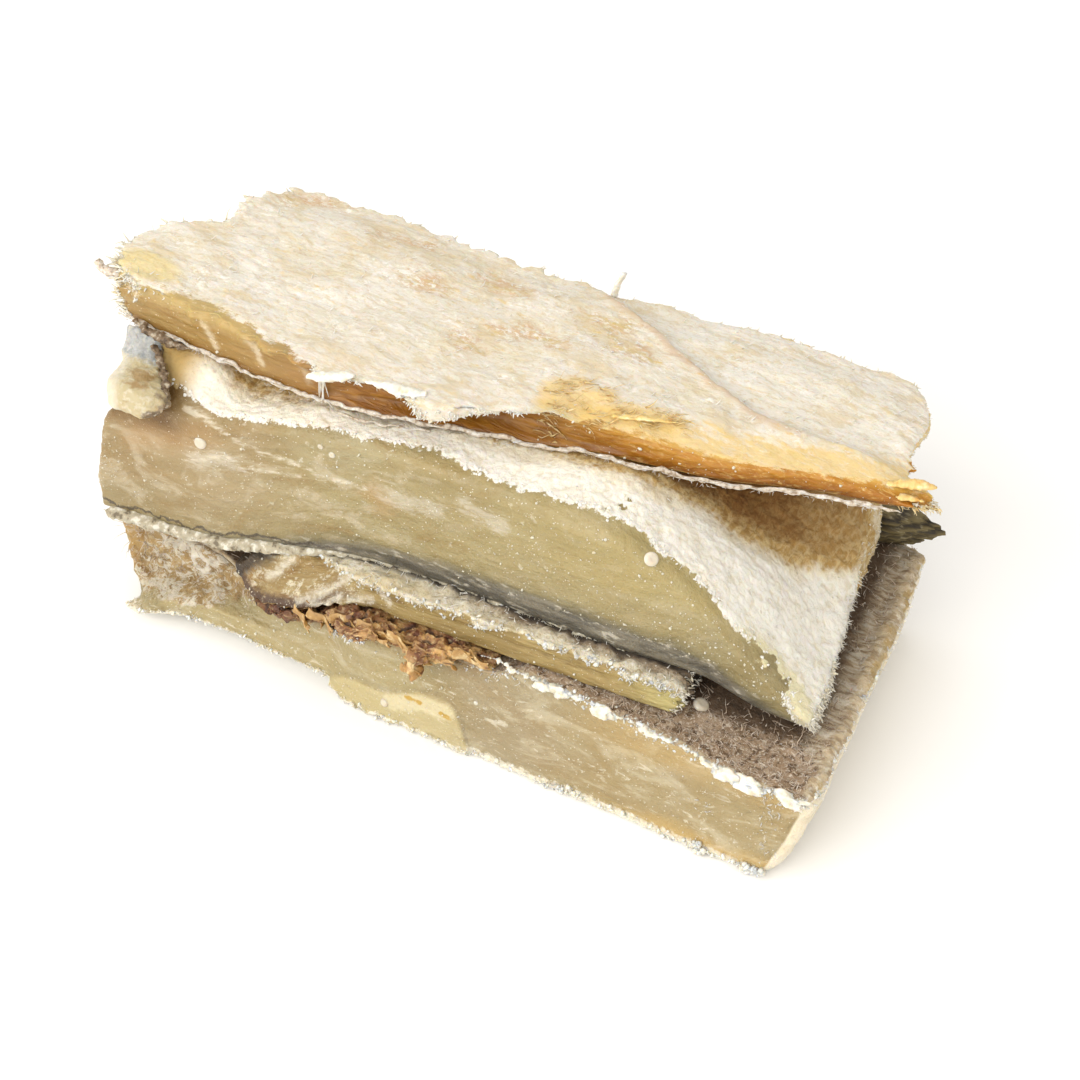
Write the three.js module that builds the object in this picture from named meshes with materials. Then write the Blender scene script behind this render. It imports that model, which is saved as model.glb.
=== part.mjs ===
// Salted pollock fillet: a block of dried, salted portions cut to one length and pressed together.
// Millimetres, +Z up, the long side along X and the cut faces towards -Y. From the bottom up it holds
// a base portion lying skin side up, shreds of dried membrane, a thin belly strip, the thick loin
// portion with its natural edge at the right, a rear strip behind it, a skin flap and a top portion.
import * as THREE from "three";
import { mergeVertices } from "three/addons/utils/BufferGeometryUtils.js";

// Clearance kept between pieces that lie on each other.
const GAP = 0.45;

// How far a cut end wanders from a straight line.
const END_WAVE = 1.4;

// Base portion: its ends, their undercut, the lip at its left foot, its back, the lift of its left
// third up to where the lower flake starts, and the drop of its natural surface at the left front.
const BASE_LEFT = -84;
const BASE_LEFT_UNDERCUT = 8;
const BASE_RIGHT_FRONT = 71;
const BASE_RIGHT_BACK = 58.5;
const BASE_RIGHT_UNDERCUT = 5;
const BASE_LIP = 2.5;
const BASE_BACK = 48;
const BASE_LIFT = 3.6;
const BASE_LIFT_SLOPE = 0.02;
const BASE_FLAKE_X = -24;
const BASE_FLAKE_STEP = 6;
const BASE_EDGE_DROP = 3.6;

// Dried membrane: where it lies, the hollow of the base that holds it, and its crumples.
const MEMBRANE_LEFT = -46;
const MEMBRANE_RIGHT = 6;
const MEMBRANE_BACK = -16;
const MEMBRANE_TAPER = 4;
const MEMBRANE_HOLLOW = 3.2;
const MEMBRANE_CRUMPLE = 1.2;

// Belly strip between the base and the loin: its ends, the slant of both, and its drooping left end.
const STRIP_LEFT = -53;
const STRIP_RIGHT = 44;
const STRIP_SLANT = 5.5;
const STRIP_BACK = 36;
const STRIP_DROOP = 2.4;

// Loin portion: cut at the left, natural thin edge at the right, with a hump hidden in its middle.
const LOIN_LEFT = -82.5;
const LOIN_LEAN = 4;
const LOIN_BULGE = 1.4;
const LOIN_RIGHT_FRONT = 66.5;
const LOIN_RIGHT_BACK = 50;
const LOIN_FACE_LEAN = 1.6;
const LOIN_CROWN = 1.4;
const LOIN_HUMP = 3;

// Rear strip in the corner behind the loin: its end runs out to a point, high up at the back.
const REAR_LEFT = 13;
const REAR_RIGHT = 61.5;
const REAR_FRONT = 41.6;
const REAR_BACK = 48.5;
const REAR_HEIGHT = 8.6;
const REAR_POINT = 8;
const REAR_POINT_AT = 0.8;

// Top portion: how much its near muscle stands above the far one, how far its middle sags onto the
// loin, how much its back edge thins, and how far its skin ends short of its crust.
const TOP_STEP = 1.8;
const TOP_SAG = 3;
const TOP_BACK_THINNING = 2.4;
const TOP_SKIN_SHORT = 5;

// Outlines seen from above or from the front, smooth curves through a few [position, value] points.
const baseFrontFoot = curve([[-80, -34.5], [-70, -31.5], [-58, -30], [-20, -29.3], [70, -27.4]]);
const baseFrontHead = curve([[-80, -24], [-56, -24.5], [-46, -27], [-20, -28], [30, -27.4], [70, -26]]);
const baseCrest = curve([[-80, 22.2], [-59, 21], [-51, 17.2], [-40, 16.8], [-28, 19.6], [-14, 22.6],
  [10, 23.8], [44, 22], [58, 19.6], [66, 19.4], [72, 20.6]]);
const membraneFront = curve([[-46, -29.5], [-12, -31], [6, -27.2]]);
const stripFront = curve([[-54, -26], [-30, -27], [0, -26.2], [35, -23.5], [47, -20.5]]);
const stripThickness = curve([[-54, 3], [-45, 6.6], [-36, 8], [-26, 7], [-14, 5.8], [35, 5.6], [47, 4.4]]);
const loinUnderside = curve([[-84, 23], [-58, 23.8], [-45, 26.3], [-28, 28.5], [10, 30.3], [30, 29.8],
  [44, 28], [54, 23.6], [66, 21.4]]);
const loinFront = curve([[-84, -30.5], [-66, -28], [-48, -26], [-20, -21], [9, -20.5], [26, -19.5],
  [42, -16], [64, -11]]);
const loinBack = curve([[-84, 45], [-10, 44.5], [8, 40.5], [64, 40]]);
const topFrontSkin = curve([[-92, -17], [-34, -17.3], [-7, -9.5], [33, 1.3], [50, 8.3], [70, 15.5]]);
const topFrontCrust = curve([[-92, -15.5], [-60, -17.6], [-34, -20], [-11, -17], [4, -8], [35, -3],
  [50, 5], [70, 15.5]]);
const topBack = curve([[-96, 31], [-60, 33.4], [-19, 34.2], [6, 40.2], [41, 47], [55, 46], [71, 38]]);
const topUnderside = curve([[-96, 60.6], [-60, 59], [0, 57.4], [20, 57], [45, 56], [70, 54.6]]);
const topThickness = curve([[-96, 5], [-86, 8], [0, 8.8], [40, 7], [62, 6], [70, 3.6]]);
const topGroove = curve([[-30, 42], [4, 28.5], [22, 20.3], [37, 15.5], [60, 18]]);

// The loin's thickness by the distance from its natural edge, and how its left shoulder rounds off.
const loinThickness = curve([[0, 2], [4, 4.5], [14, 12], [31, 21.2], [40, 24.6], [60, 25.6],
  [111, 27.6], [130, 28.4]]);
const loinShoulder = curve([[-84, 0.72], [-78, 0.86], [-66, 0.98], [-50, 1]]);

// The ends of the top portion, by the share of the way from its front to its back.
const topLeftEnd = curve([[0, -88.5], [0.24, -93.5], [0.42, -89], [0.56, -80.5], [0.72, -82], [1, -79]]);
const topRightEnd = curve([[0, 73], [0.2, 64.5], [0.45, 62.5], [0.85, 61], [1, 56]]);

// The skin flap, by the share of the way from the tip of its lump up to the top portion.
const flapLeft = curve([[0, -74], [0.25, -77.5], [0.5, -78.5], [0.75, -81], [1, -83]]);
const flapRight = curve([[0, -66], [0.25, -63.5], [0.5, -69], [0.75, -74.5], [1, -76.5]]);
const flapForward = curve([[0, -33.5], [0.25, -29.5], [0.5, -24.5], [0.75, -20.5], [1, -17]]);
const flapHeight = curve([[0, 52.2], [0.25, 53.8], [0.5, 54.6], [0.75, 56.2], [1, 58.6]]);
const flapThickness = curve([[0, 2], [0.25, 5.6], [0.5, 4], [0.75, 1.8], [1, 1.4]]);

// A smooth curve through a few [position, value] points, level beyond both ends.
function curve(points) {
  const last = points.length - 1;
  const slope = (i) => {
    const before = points[Math.max(i - 1, 0)];
    const after = points[Math.min(i + 1, last)];
    return (after[1] - before[1]) / (after[0] - before[0]);
  };
  return (position) => {
    const at = THREE.MathUtils.clamp(position, points[0][0], points[last][0]);
    let i = 0;
    while (i < last - 1 && at > points[i + 1][0]) i += 1;
    const span = points[i + 1][0] - points[i][0];
    const climb = points[i + 1][1] - points[i][1];
    const t = (at - points[i][0]) / span;
    const bend = (1 - t) * (slope(i) * span - climb) - t * (slope(i + 1) * span - climb);
    return points[i][1] + climb * t + t * (1 - t) * bend;
  };
}

function mix(from, to, share) {
  return from + (to - from) * share;
}

// From 0 to 1 as position goes from low to high, with soft ends.
function rise(position, low, high) {
  return THREE.MathUtils.smoothstep(position, low, high);
}

function fall(position, low, high) {
  return 1 - rise(position, low, high);
}

// The slow unevenness of a dried surface, between -size and size.
function ripple(x, y, size) {
  return size * 0.5 * (Math.sin(x / 7.3 + y / 11) + Math.sin(x / 3.9 - y / 6.1 + 2));
}

// A closed block of cells, its grid points put where place(u, v, w) says, each running from 0 to 1.
function block(cells, place) {
  const box = new THREE.BoxGeometry(1, 1, 1, ...cells);
  box.deleteAttribute("normal");
  box.deleteAttribute("uv");
  const solid = mergeVertices(box);
  const grid = solid.getAttribute("position");
  for (let i = 0; i < grid.count; i += 1) {
    grid.setXYZ(i, ...place(grid.getX(i) + 0.5, grid.getY(i) + 0.5, grid.getZ(i) + 0.5));
  }
  solid.computeVertexNormals();
  return solid;
}

// A portion between two ends, a front and a back, and an underside and a top.
function portion({ cells, left, right, front, back, bottom, top }) {
  return block(cells, (u, v, w) => {
    const x = mix(left(v, w), right(v, w), u);
    const y = mix(front(x, w), back(x, w), v);
    return [x, y, mix(bottom(x, y), top(x, y), w)];
  });
}

// The base's top: level with what lies on it, hollowed for the membrane, and lower along the left
// front, where its natural surface drops away.
function baseTop(x, y) {
  const fromLeft = rise(x, MEMBRANE_LEFT - 9, MEMBRANE_LEFT - 1);
  const toRight = fall(x, MEMBRANE_RIGHT + 1, MEMBRANE_RIGHT + 9);
  const behind = fall(y, MEMBRANE_BACK + 0.5, MEMBRANE_BACK + 7);
  const hollow = MEMBRANE_HOLLOW * fromLeft * toRight * behind;
  const edge = BASE_EDGE_DROP * fall(x, -58, -46) * fall(y, -24, -12);
  return baseCrest(x) - hollow - edge;
}

function stripTop(x) {
  return loinUnderside(x) - GAP - STRIP_DROOP * fall(x, STRIP_LEFT, STRIP_LEFT + 17);
}

function stripBottom(x) {
  return stripTop(x) - stripThickness(x);
}

// The loin's natural edge, which lies further left towards the back.
function loinRight(y) {
  return mix(LOIN_RIGHT_FRONT, LOIN_RIGHT_BACK, rise(y, -30, 50));
}

function loinTop(x, y) {
  const thickness = loinThickness(loinRight(y) - x) * loinShoulder(x);
  const crown = LOIN_CROWN * rise(y, -26, -6) * fall(x, 20, 60);
  const hump = LOIN_HUMP * rise(y, -12, 16) * fall(x, -50, 0);
  return loinUnderside(x) + thickness + crown + hump + ripple(x, y, 0.5);
}

// The top portion's underside bridges the loin's front edge and right slope, and lies on its hump.
function topBottom(x, y) {
  const sag = TOP_SAG * rise(y, -14, 8) * fall(x, -12, 14);
  const free = topUnderside(x) - sag + ripple(x, y, 0.3);
  return Math.max(free, loinTop(x, y) + GAP);
}

function topTop(x, y) {
  const farMuscle = TOP_STEP * rise(y - topGroove(x), 0, 4) * rise(x, -28, -8);
  const thinned = TOP_BACK_THINNING * fall(topBack(x) - y, 0, 14);
  return topUnderside(x) + topThickness(x) - farMuscle - thinned + ripple(x, y, 0.45);
}

function basePortion() {
  return portion({
    cells: [30, 14, 4],
    left: (v, w) => {
      const lip = BASE_LIP * fall(w, 0, 0.35) * (1 - v);
      return BASE_LEFT + BASE_LEFT_UNDERCUT * (1 - w) - lip + END_WAVE * Math.sin(5 * v);
    },
    right: (v, w) => mix(BASE_RIGHT_FRONT, BASE_RIGHT_BACK, v) - BASE_RIGHT_UNDERCUT * (1 - w),
    front: (x, w) => mix(baseFrontFoot(x), baseFrontHead(x), rise(w, 0.15, 0.7)),
    back: (x, w) => BASE_BACK + ripple(x, 9 * w, 0.9),
    bottom: (x, y) => {
      const lift = BASE_LIFT - BASE_LIFT_SLOPE * y;
      return lift * fall(x, BASE_FLAKE_X - BASE_FLAKE_STEP, BASE_FLAKE_X);
    },
    top: (x, y) => baseTop(x, y) + ripple(x, y, 0.15),
  });
}

function membraneShreds() {
  return portion({
    cells: [18, 5, 2],
    left: () => MEMBRANE_LEFT,
    right: (v) => MEMBRANE_RIGHT - MEMBRANE_TAPER * v,
    front: (x, w) => membraneFront(x) + MEMBRANE_CRUMPLE * (Math.sin(x / 2.7) - 0.7 * w),
    back: () => MEMBRANE_BACK,
    bottom: (x, y) => baseTop(x, y) + GAP,
    top: (x, y) => stripBottom(x) - GAP - 0.5 * MEMBRANE_CRUMPLE * (1 + Math.sin(x / 3.1 + y / 4)),
  });
}

function bellyStrip() {
  return portion({
    cells: [22, 8, 2],
    left: (v) => STRIP_LEFT + STRIP_SLANT * v,
    right: (v) => STRIP_RIGHT - STRIP_SLANT * v,
    front: (x, w) => stripFront(x) + 0.8 * w,
    back: (x) => STRIP_BACK + ripple(x, 0, 0.8),
    bottom: stripBottom,
    top: stripTop,
  });
}

function loinPortion() {
  return portion({
    cells: [32, 13, 5],
    left: (v, w) => {
      const bulge = LOIN_BULGE * Math.sin(Math.PI * w);
      return LOIN_LEFT + LOIN_LEAN * w * w - bulge + END_WAVE * Math.sin(4 * v);
    },
    right: (v) => loinRight(mix(-12, 38, v)),
    front: (x, w) => loinFront(x) + LOIN_FACE_LEAN * w * fall(x, -60, -20) + ripple(x, 8 * w, 0.25),
    back: (x, w) => loinBack(x) + ripple(x, 9 * w, 0.4),
    bottom: loinUnderside,
    top: loinTop,
  });
}

function rearStrip() {
  return portion({
    cells: [10, 4, 2],
    left: () => REAR_LEFT,
    right: (v, w) => REAR_RIGHT - REAR_POINT * (1 - v + Math.abs(w - REAR_POINT_AT)),
    front: () => REAR_FRONT,
    back: (x) => REAR_BACK + ripple(x, 0, 0.6),
    bottom: (x, y) => baseTop(x, y) + GAP,
    top: (x, y) => baseTop(x, y) + REAR_HEIGHT + 0.8 * Math.sin(x / 6),
  });
}

function topPortion() {
  return portion({
    cells: [34, 12, 2],
    left: (v, w) => topLeftEnd(v) + TOP_SKIN_SHORT * (1 - w) * (1 - v),
    right: (v, w) => topRightEnd(v) - TOP_SKIN_SHORT * (1 - w) * (1 - v),
    front: (x, w) => mix(topFrontSkin(x), topFrontCrust(x), w * w),
    back: (x, w) => topBack(x) + ripple(x, 9 * w, 0.7),
    bottom: topBottom,
    top: topTop,
  });
}

// A tongue of skin that comes down forward from under the top portion and ends in a rounded lump.
function skinFlap() {
  return block([4, 2, 8], (u, v, w) => {
    const roundness = Math.sin(Math.PI * mix(0.12, 0.88, u));
    const depth = 0.5 * flapThickness(w) * roundness * (2 * v - 1);
    const x = mix(flapLeft(w), flapRight(w), u);
    return [x, flapForward(w) + 0.7 * depth, flapHeight(w) - depth];
  });
}

const cutFace = { color: 0xc9b07c, roughness: 0.45 };

const pieces = {
  base_portion: [basePortion, cutFace],
  membrane_shreds: [membraneShreds, { color: 0x9a5f2e, roughness: 0.6 }],
  belly_strip: [bellyStrip, { color: 0xa08040, roughness: 0.5 }],
  loin_portion: [loinPortion, cutFace],
  rear_strip: [rearStrip, { color: 0x6e6a45, roughness: 0.6 }],
  skin_flap: [skinFlap, { color: 0xe3dcc6, roughness: 0.5 }],
  top_portion: [topPortion, { color: 0xf1ebdd, roughness: 0.9 }],
};

// The origin is the middle of the underside of the whole block's box.
function centred(group) {
  const box = new THREE.Box3().setFromObject(group);
  const middle = box.getCenter(new THREE.Vector3());
  group.position.set(-middle.x, -middle.y, -box.min.z);
  return group;
}

const fillet = new THREE.Group();
for (const [name, [make, finish]] of Object.entries(pieces)) {
  const mesh = new THREE.Mesh(make(), new THREE.MeshStandardMaterial({ metalness: 0, ...finish }));
  mesh.name = name;
  fillet.add(mesh);
}

export default centred(fillet);
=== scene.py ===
"""The looks of the salted fish block: the seven portions of the frame, made again as fine uneven surfaces,
with salt, fibres, skin edges and crumbs on them. Lengths are in millimetres until a mesh is made."""

import itertools
import math

import bmesh
import bpy
import numpy as np
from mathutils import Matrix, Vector


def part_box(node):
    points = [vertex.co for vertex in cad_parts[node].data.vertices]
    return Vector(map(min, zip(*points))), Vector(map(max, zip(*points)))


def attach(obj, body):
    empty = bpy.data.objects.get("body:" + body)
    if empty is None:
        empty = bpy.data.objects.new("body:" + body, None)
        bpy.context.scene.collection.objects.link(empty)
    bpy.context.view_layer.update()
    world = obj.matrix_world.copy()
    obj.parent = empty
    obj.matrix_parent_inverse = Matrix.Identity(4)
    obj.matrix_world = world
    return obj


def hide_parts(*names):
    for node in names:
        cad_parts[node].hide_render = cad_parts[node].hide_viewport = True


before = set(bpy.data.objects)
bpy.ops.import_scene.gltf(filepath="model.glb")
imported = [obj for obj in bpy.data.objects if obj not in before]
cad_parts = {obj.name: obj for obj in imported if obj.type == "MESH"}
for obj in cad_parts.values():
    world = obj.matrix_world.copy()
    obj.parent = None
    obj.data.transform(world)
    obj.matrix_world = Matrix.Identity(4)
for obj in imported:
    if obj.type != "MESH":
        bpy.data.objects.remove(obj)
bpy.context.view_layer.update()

MM = 0.001
# Between neighbouring portions.
GAP = 0.45
# Added to a distance where a mark isn't wanted: beyond the reach of any.
FAR = 9
rng = np.random.default_rng(5)


# ---------------------------------------------------------------- numbers and noise

def curve(points):
    """A smooth curve through a few (position, value) points, level beyond both ends."""
    at, value = np.array(points, float).T
    slope = np.gradient(value, at)
    slope[1:-1] = (value[2:] - value[:-2]) / (at[2:] - at[:-2])

    def read(position):
        here = np.clip(position, at[0], at[-1])
        i = np.clip(np.searchsorted(at, here, side="right") - 1, 0, len(at) - 2)
        span = at[i + 1] - at[i]
        climb = value[i + 1] - value[i]
        t = (here - at[i]) / span
        bend = (1 - t) * (slope[i] * span - climb) - t * (slope[i + 1] * span - climb)
        return value[i] + climb * t + t * (1 - t) * bend

    return read


def mix(a, b, share):
    return a + (b - a) * share


def rise(position, low, high):
    """From 0 to 1 as position goes from low to high, with soft ends."""
    t = np.clip((position - low) / (high - low), 0, 1)
    return t * t * (3 - 2 * t)


def fall(position, low, high):
    return 1 - rise(position, low, high)


def hill(position, middle, width):
    """1 in the middle, 0 from width away."""
    return fall(np.abs(position - middle), 0, width)


def ripple(x, y, size):
    """A gentle unevenness of a size, the same all over the block."""
    return size * 0.5 * (np.sin(x / 7.3 + y / 11) + np.sin(x / 3.9 - y / 6.1 + 2))


# The noise has a slope of its own at each corner of a lattice, found in a shuffled table.
TABLE = 256
PERM = np.tile(rng.permutation(TABLE), 2)
GRADIENTS = rng.normal(size=(TABLE, 3))
GRADIENTS /= np.linalg.norm(GRADIENTS, axis=1, keepdims=True)


def noise(p):
    """Smooth noise between about -1 and 1 at points of shape (n, 3)."""
    cell = np.floor(p).astype(int)
    inside = p - cell
    ease = inside ** 3 * (inside * (inside * 6 - 15) + 10)
    total = np.zeros(len(p))
    for corner in itertools.product((0, 1), repeat=3):
        at = (cell + corner) % TABLE
        key = PERM[PERM[PERM[at[:, 0]] + at[:, 1]] + at[:, 2]]
        weight = np.prod(np.where(corner, ease, 1 - ease), axis=1)
        total += weight * np.einsum("ij,ij->i", GRADIENTS[key], inside - corner)
    return 1.7 * total


def grain(p, size, octaves=3, seed=0.0, gain=0.5):
    """Layered noise whose largest lumps are size across, one number or one for each axis."""
    total = np.zeros(len(p))
    for k in range(octaves):
        total += gain ** k * noise(p * 2.0 ** k / np.array(size) + seed + 5.3 * k)
    return total


# ---------------------------------------------------------------- outlines, as in the CAD

base_front_foot = curve([(-80, -34.2), (-73.5, -34), (-66, -31.4), (-58, -30.2), (-20, -30), (70, -28.2)])
base_front_head = curve([(-80, -24), (-56, -24.5), (-46, -27), (-20, -28), (30, -27.4), (70, -26)])
base_crest = curve([(-80, 22.2), (-59, 21), (-51, 17.2), (-40, 16.8), (-28, 19.6), (-14, 22.6), (10, 23.8),
                    (44, 22), (58, 19.6), (66, 19.4), (74, 19.6)])
membrane_front = curve([(-46, -29.5), (-12, -31), (6, -27.2)])
strip_front = curve([(-54, -26), (-30, -27), (0, -26.2), (35, -23.5), (47, -20.5)])
strip_thickness = curve([(-54, 5), (-45, 9.4), (-37, 9.6), (-32, 8.2), (-27, 5.6), (-20, 5.6), (-12, 6.2),
                         (35, 5.6), (47, 4.4)])
loin_underside = curve([(-84, 23), (-58, 23.8), (-45, 26.3), (-28, 28.5), (10, 30.3), (30, 29.8), (44, 28),
                        (54, 23.6), (66, 21.4)])
loin_front = curve([(-84, -30.5), (-66, -28), (-48, -26), (-20, -21), (9, -20.5), (26, -19.5), (42, -16),
                    (64, -11)])
loin_back = curve([(-84, 45), (-10, 44.5), (8, 40.5), (64, 40)])
top_front_skin = curve([(-92, -17), (-34, -17.3), (-7, -9.5), (33, 1.3), (50, 8.3), (70, 15.5)])
top_front_crust = curve([(-92, -15.5), (-60, -17.6), (-34, -20), (-11, -17), (4, -8), (35, -3), (50, 5),
                         (70, 15.5)])
top_back = curve([(-96, 31), (-60, 33.4), (-19, 34.2), (6, 40.2), (41, 47), (55, 46), (71, 38)])
top_underside = curve([(-96, 60.6), (-60, 59), (0, 57.4), (20, 57), (45, 56), (70, 54.6)])
top_thickness = curve([(-96, 5), (-86, 8), (0, 8.8), (40, 7), (62, 6), (70, 3.6)])
top_groove = curve([(-30, 42), (4, 28.5), (22, 20.3), (37, 15.5), (60, 18)])
loin_thickness = curve([(0, 2), (4, 4.5), (14, 12), (31, 21.2), (40, 24.6), (60, 25.6), (111, 27.6),
                        (130, 28.4)])
loin_shoulder = curve([(-84, 0.72), (-78, 0.86), (-66, 0.98), (-50, 1)])
top_left_end = curve([(0, -84), (0.24, -92.8), (0.42, -89), (0.56, -80.5), (0.72, -82), (1, -79)])
top_right_end = curve([(0, 69.5), (0.12, 71.5), (0.26, 65), (0.45, 62.5), (0.82, 60), (1, 53)])
flap_left = curve([(0, -74), (0.25, -77.5), (0.5, -78.5), (0.75, -81), (1, -83)])
flap_right = curve([(0, -66), (0.25, -63.5), (0.5, -67.5), (0.75, -72), (1, -73.4)])
flap_forward = curve([(0, -33.5), (0.25, -29.5), (0.5, -24.5), (0.75, -20.5), (1, -17)])
flap_height = curve([(0, 52.2), (0.25, 53.8), (0.5, 54.6), (0.75, 56.2), (1, 58.6)])
flap_thickness = curve([(0, 2), (0.25, 5.6), (0.5, 4), (0.75, 1.8), (1, 1.4)])


def base_top(x, y):
    """The base's skin side, hollow under the membrane and low at the front's left."""
    hollow = 3.2 * rise(x, -55, -47) * fall(x, 7, 15) * fall(y, -15.5, -9)
    edge = 3.6 * fall(x, -58, -46) * fall(y, -24, -12)
    return base_crest(x) - hollow - edge


def strip_top(x):
    return loin_underside(x) - GAP - 2.4 * fall(x, -53, -36)


def strip_bottom(x):
    return strip_top(x) - strip_thickness(x)


def loin_right(y):
    """The loin's natural edge, slanting to the left towards the back."""
    return mix(66.5, 50, rise(y, -30, 50))


def loin_top(x, y):
    """The loin's upper side, which slopes down to the natural edge."""
    thickness = loin_thickness(loin_right(y) - x) * loin_shoulder(x)
    crown = 1.4 * rise(y, -26, -6) * fall(x, 20, 60)
    hump = 3 * rise(y, -12, 16) * fall(x, -50, 0)
    tail = 9 * rise(y, 6, 30) * fall(loin_right(y) - x, 2, 30)
    return loin_underside(x) + thickness + crown + hump + tail + ripple(x, y, 0.5)


def top_bottom(x, y):
    """The top portion's underside, which sags towards the loin but stays a gap above it."""
    sag = 3 * rise(y, -14, 8) * fall(x, -12, 14)
    return np.maximum(top_underside(x) - sag + ripple(x, y, 0.3), loin_top(x, y) + GAP)


def top_top(x, y):
    """The top portion's upper side: behind the groove the far muscle lies lower."""
    far_muscle = 1.8 * rise(y - top_groove(x), 0, 3) * rise(x, -28, -8)
    thinned = 2.4 * fall(top_back(x) - y, 0, 14)
    return top_underside(x) + top_thickness(x) - far_muscle - thinned + ripple(x, y, 0.45)


# ---------------------------------------------------------------- surfaces

def lattice(cells):
    """The surface points (u, v, w) of a box of cells, and its quads. Each goes from 0 to 1: u from left
    to right, v from front to back, w upwards."""
    i, j, k = np.indices([n + 1 for n in cells])
    nu, nv, nw = cells
    skin = (i % nu == 0) | (j % nv == 0) | (k % nw == 0)
    ids = np.full(skin.shape, -1)
    ids[skin] = np.arange(skin.sum())
    uvw = np.stack([i[skin] / nu, j[skin] / nv, k[skin] / nw], 1)

    def quads(side, turned):
        grid = np.stack([side[:-1, :-1], side[1:, :-1], side[1:, 1:], side[:-1, 1:]], -1).reshape(-1, 4)
        return grid[:, ::-1] if turned else grid

    sides = [quads(ids[:, :, 0], True), quads(ids[:, :, -1], False), quads(ids[:, 0], False),
             quads(ids[:, -1], True), quads(ids[0], True), quads(ids[-1], False)]
    return uvw, np.concatenate(sides)


def normals_of(points, faces):
    """The outward direction at each point."""
    a, b, c, d = (points[faces[:, n]] for n in range(4))
    across = np.cross(c - a, d - b)
    total = np.zeros_like(points)
    for n in range(4):
        np.add.at(total, faces[:, n], across)
    return total / np.maximum(np.linalg.norm(total, axis=1, keepdims=True), 1e-12)


def softened(uvw, size, radius):
    """The same surface points with their edges rounded to a radius, size and radius in mm."""
    half = size / 2
    local = (uvw - 0.5) * size
    radius = np.minimum(radius[:, None], 0.48 * size.min(axis=1, keepdims=True))
    core = np.clip(local, radius - half, half - radius)
    out = local - core
    length = np.maximum(np.linalg.norm(out, axis=1, keepdims=True), 1e-9)
    return (core + out / length * radius) / size + 0.5


class Portion:
    """A portion's fine surface: points, faces, (u, v, w) of each point, which side it is on, and fields.

    The place is a function from (u, v, w) to x, y and z. The size along each axis and the radius of the
    edges are numbers or functions of (u, v, w). Dense above 1 crowds an axis's points towards 0."""

    def __init__(self, cells, place, size, radius, dense=(1, 1, 1)):
        uvw, self.faces = lattice(cells)
        uvw = uvw ** np.array(dense)
        self.left, self.front, self.bottom = (uvw == 0).T.astype(float)
        self.right, self.back, self.top = (uvw == 1).T.astype(float)
        size = size(*uvw.T) if callable(size) else size
        radius = radius(*uvw.T) if callable(radius) else radius
        size = np.stack(np.broadcast_arrays(*size, self.left)[:3], 1)
        self.u, self.v, self.w = softened(uvw, size, radius + 0 * self.left).T
        self.points = np.stack(place(self.u, self.v, self.w), 1)
        self.fields = {}

    def normals(self):
        return normals_of(self.points, self.faces)

    def push(self, amount):
        """Moves each point along its normal."""
        self.points = self.points + self.normals() * np.asarray(amount)[:, None]


# The straight left and back sides of the CAD's membrane, in the outlines' frame.
MEMBRANE_LEFT, MEMBRANE_BACK = -46, -16


def shifted():
    """From the outlines' frame to the row's, by the place of the membrane in each."""
    low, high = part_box("membrane_shreds")
    return np.array([low.x / MM - MEMBRANE_LEFT, high.y / MM - MEMBRANE_BACK, 0])


SHIFT = shifted()


def make_object(name, points, faces, material, fields=None):
    """A smooth piece on the block's one body, from mm in the outlines' frame. Its fields are attributes."""
    mesh = bpy.data.meshes.new(name)
    points = np.concatenate([points[:, :2], np.maximum(points[:, 2:], 0)], 1)
    mesh.from_pydata(((points + SHIFT) * MM).tolist(), [], [list(f) for f in faces])
    mesh.polygons.foreach_set("use_smooth", [True] * len(mesh.polygons))
    for field, values in (fields or {}).items():
        mesh.attributes.new(field, "FLOAT", "POINT").data.foreach_set("value", values.astype(np.float32))
    mesh.materials.append(material)
    piece = bpy.data.objects.new(name, mesh)
    bpy.context.scene.collection.objects.link(piece)
    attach(piece, "root")
    return piece


# ---------------------------------------------------------------- materials

# The colours below are as seen under the lights, so each is toned down by this.
TONE = 0.82


def linear(colour):
    """A linear colour from 0-255 display values."""
    c = np.array(colour, float) / 255
    return tuple(np.where(c < 0.04045, c / 12.92, ((c + 0.055) / 1.055) ** 2.4) * TONE)


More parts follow.
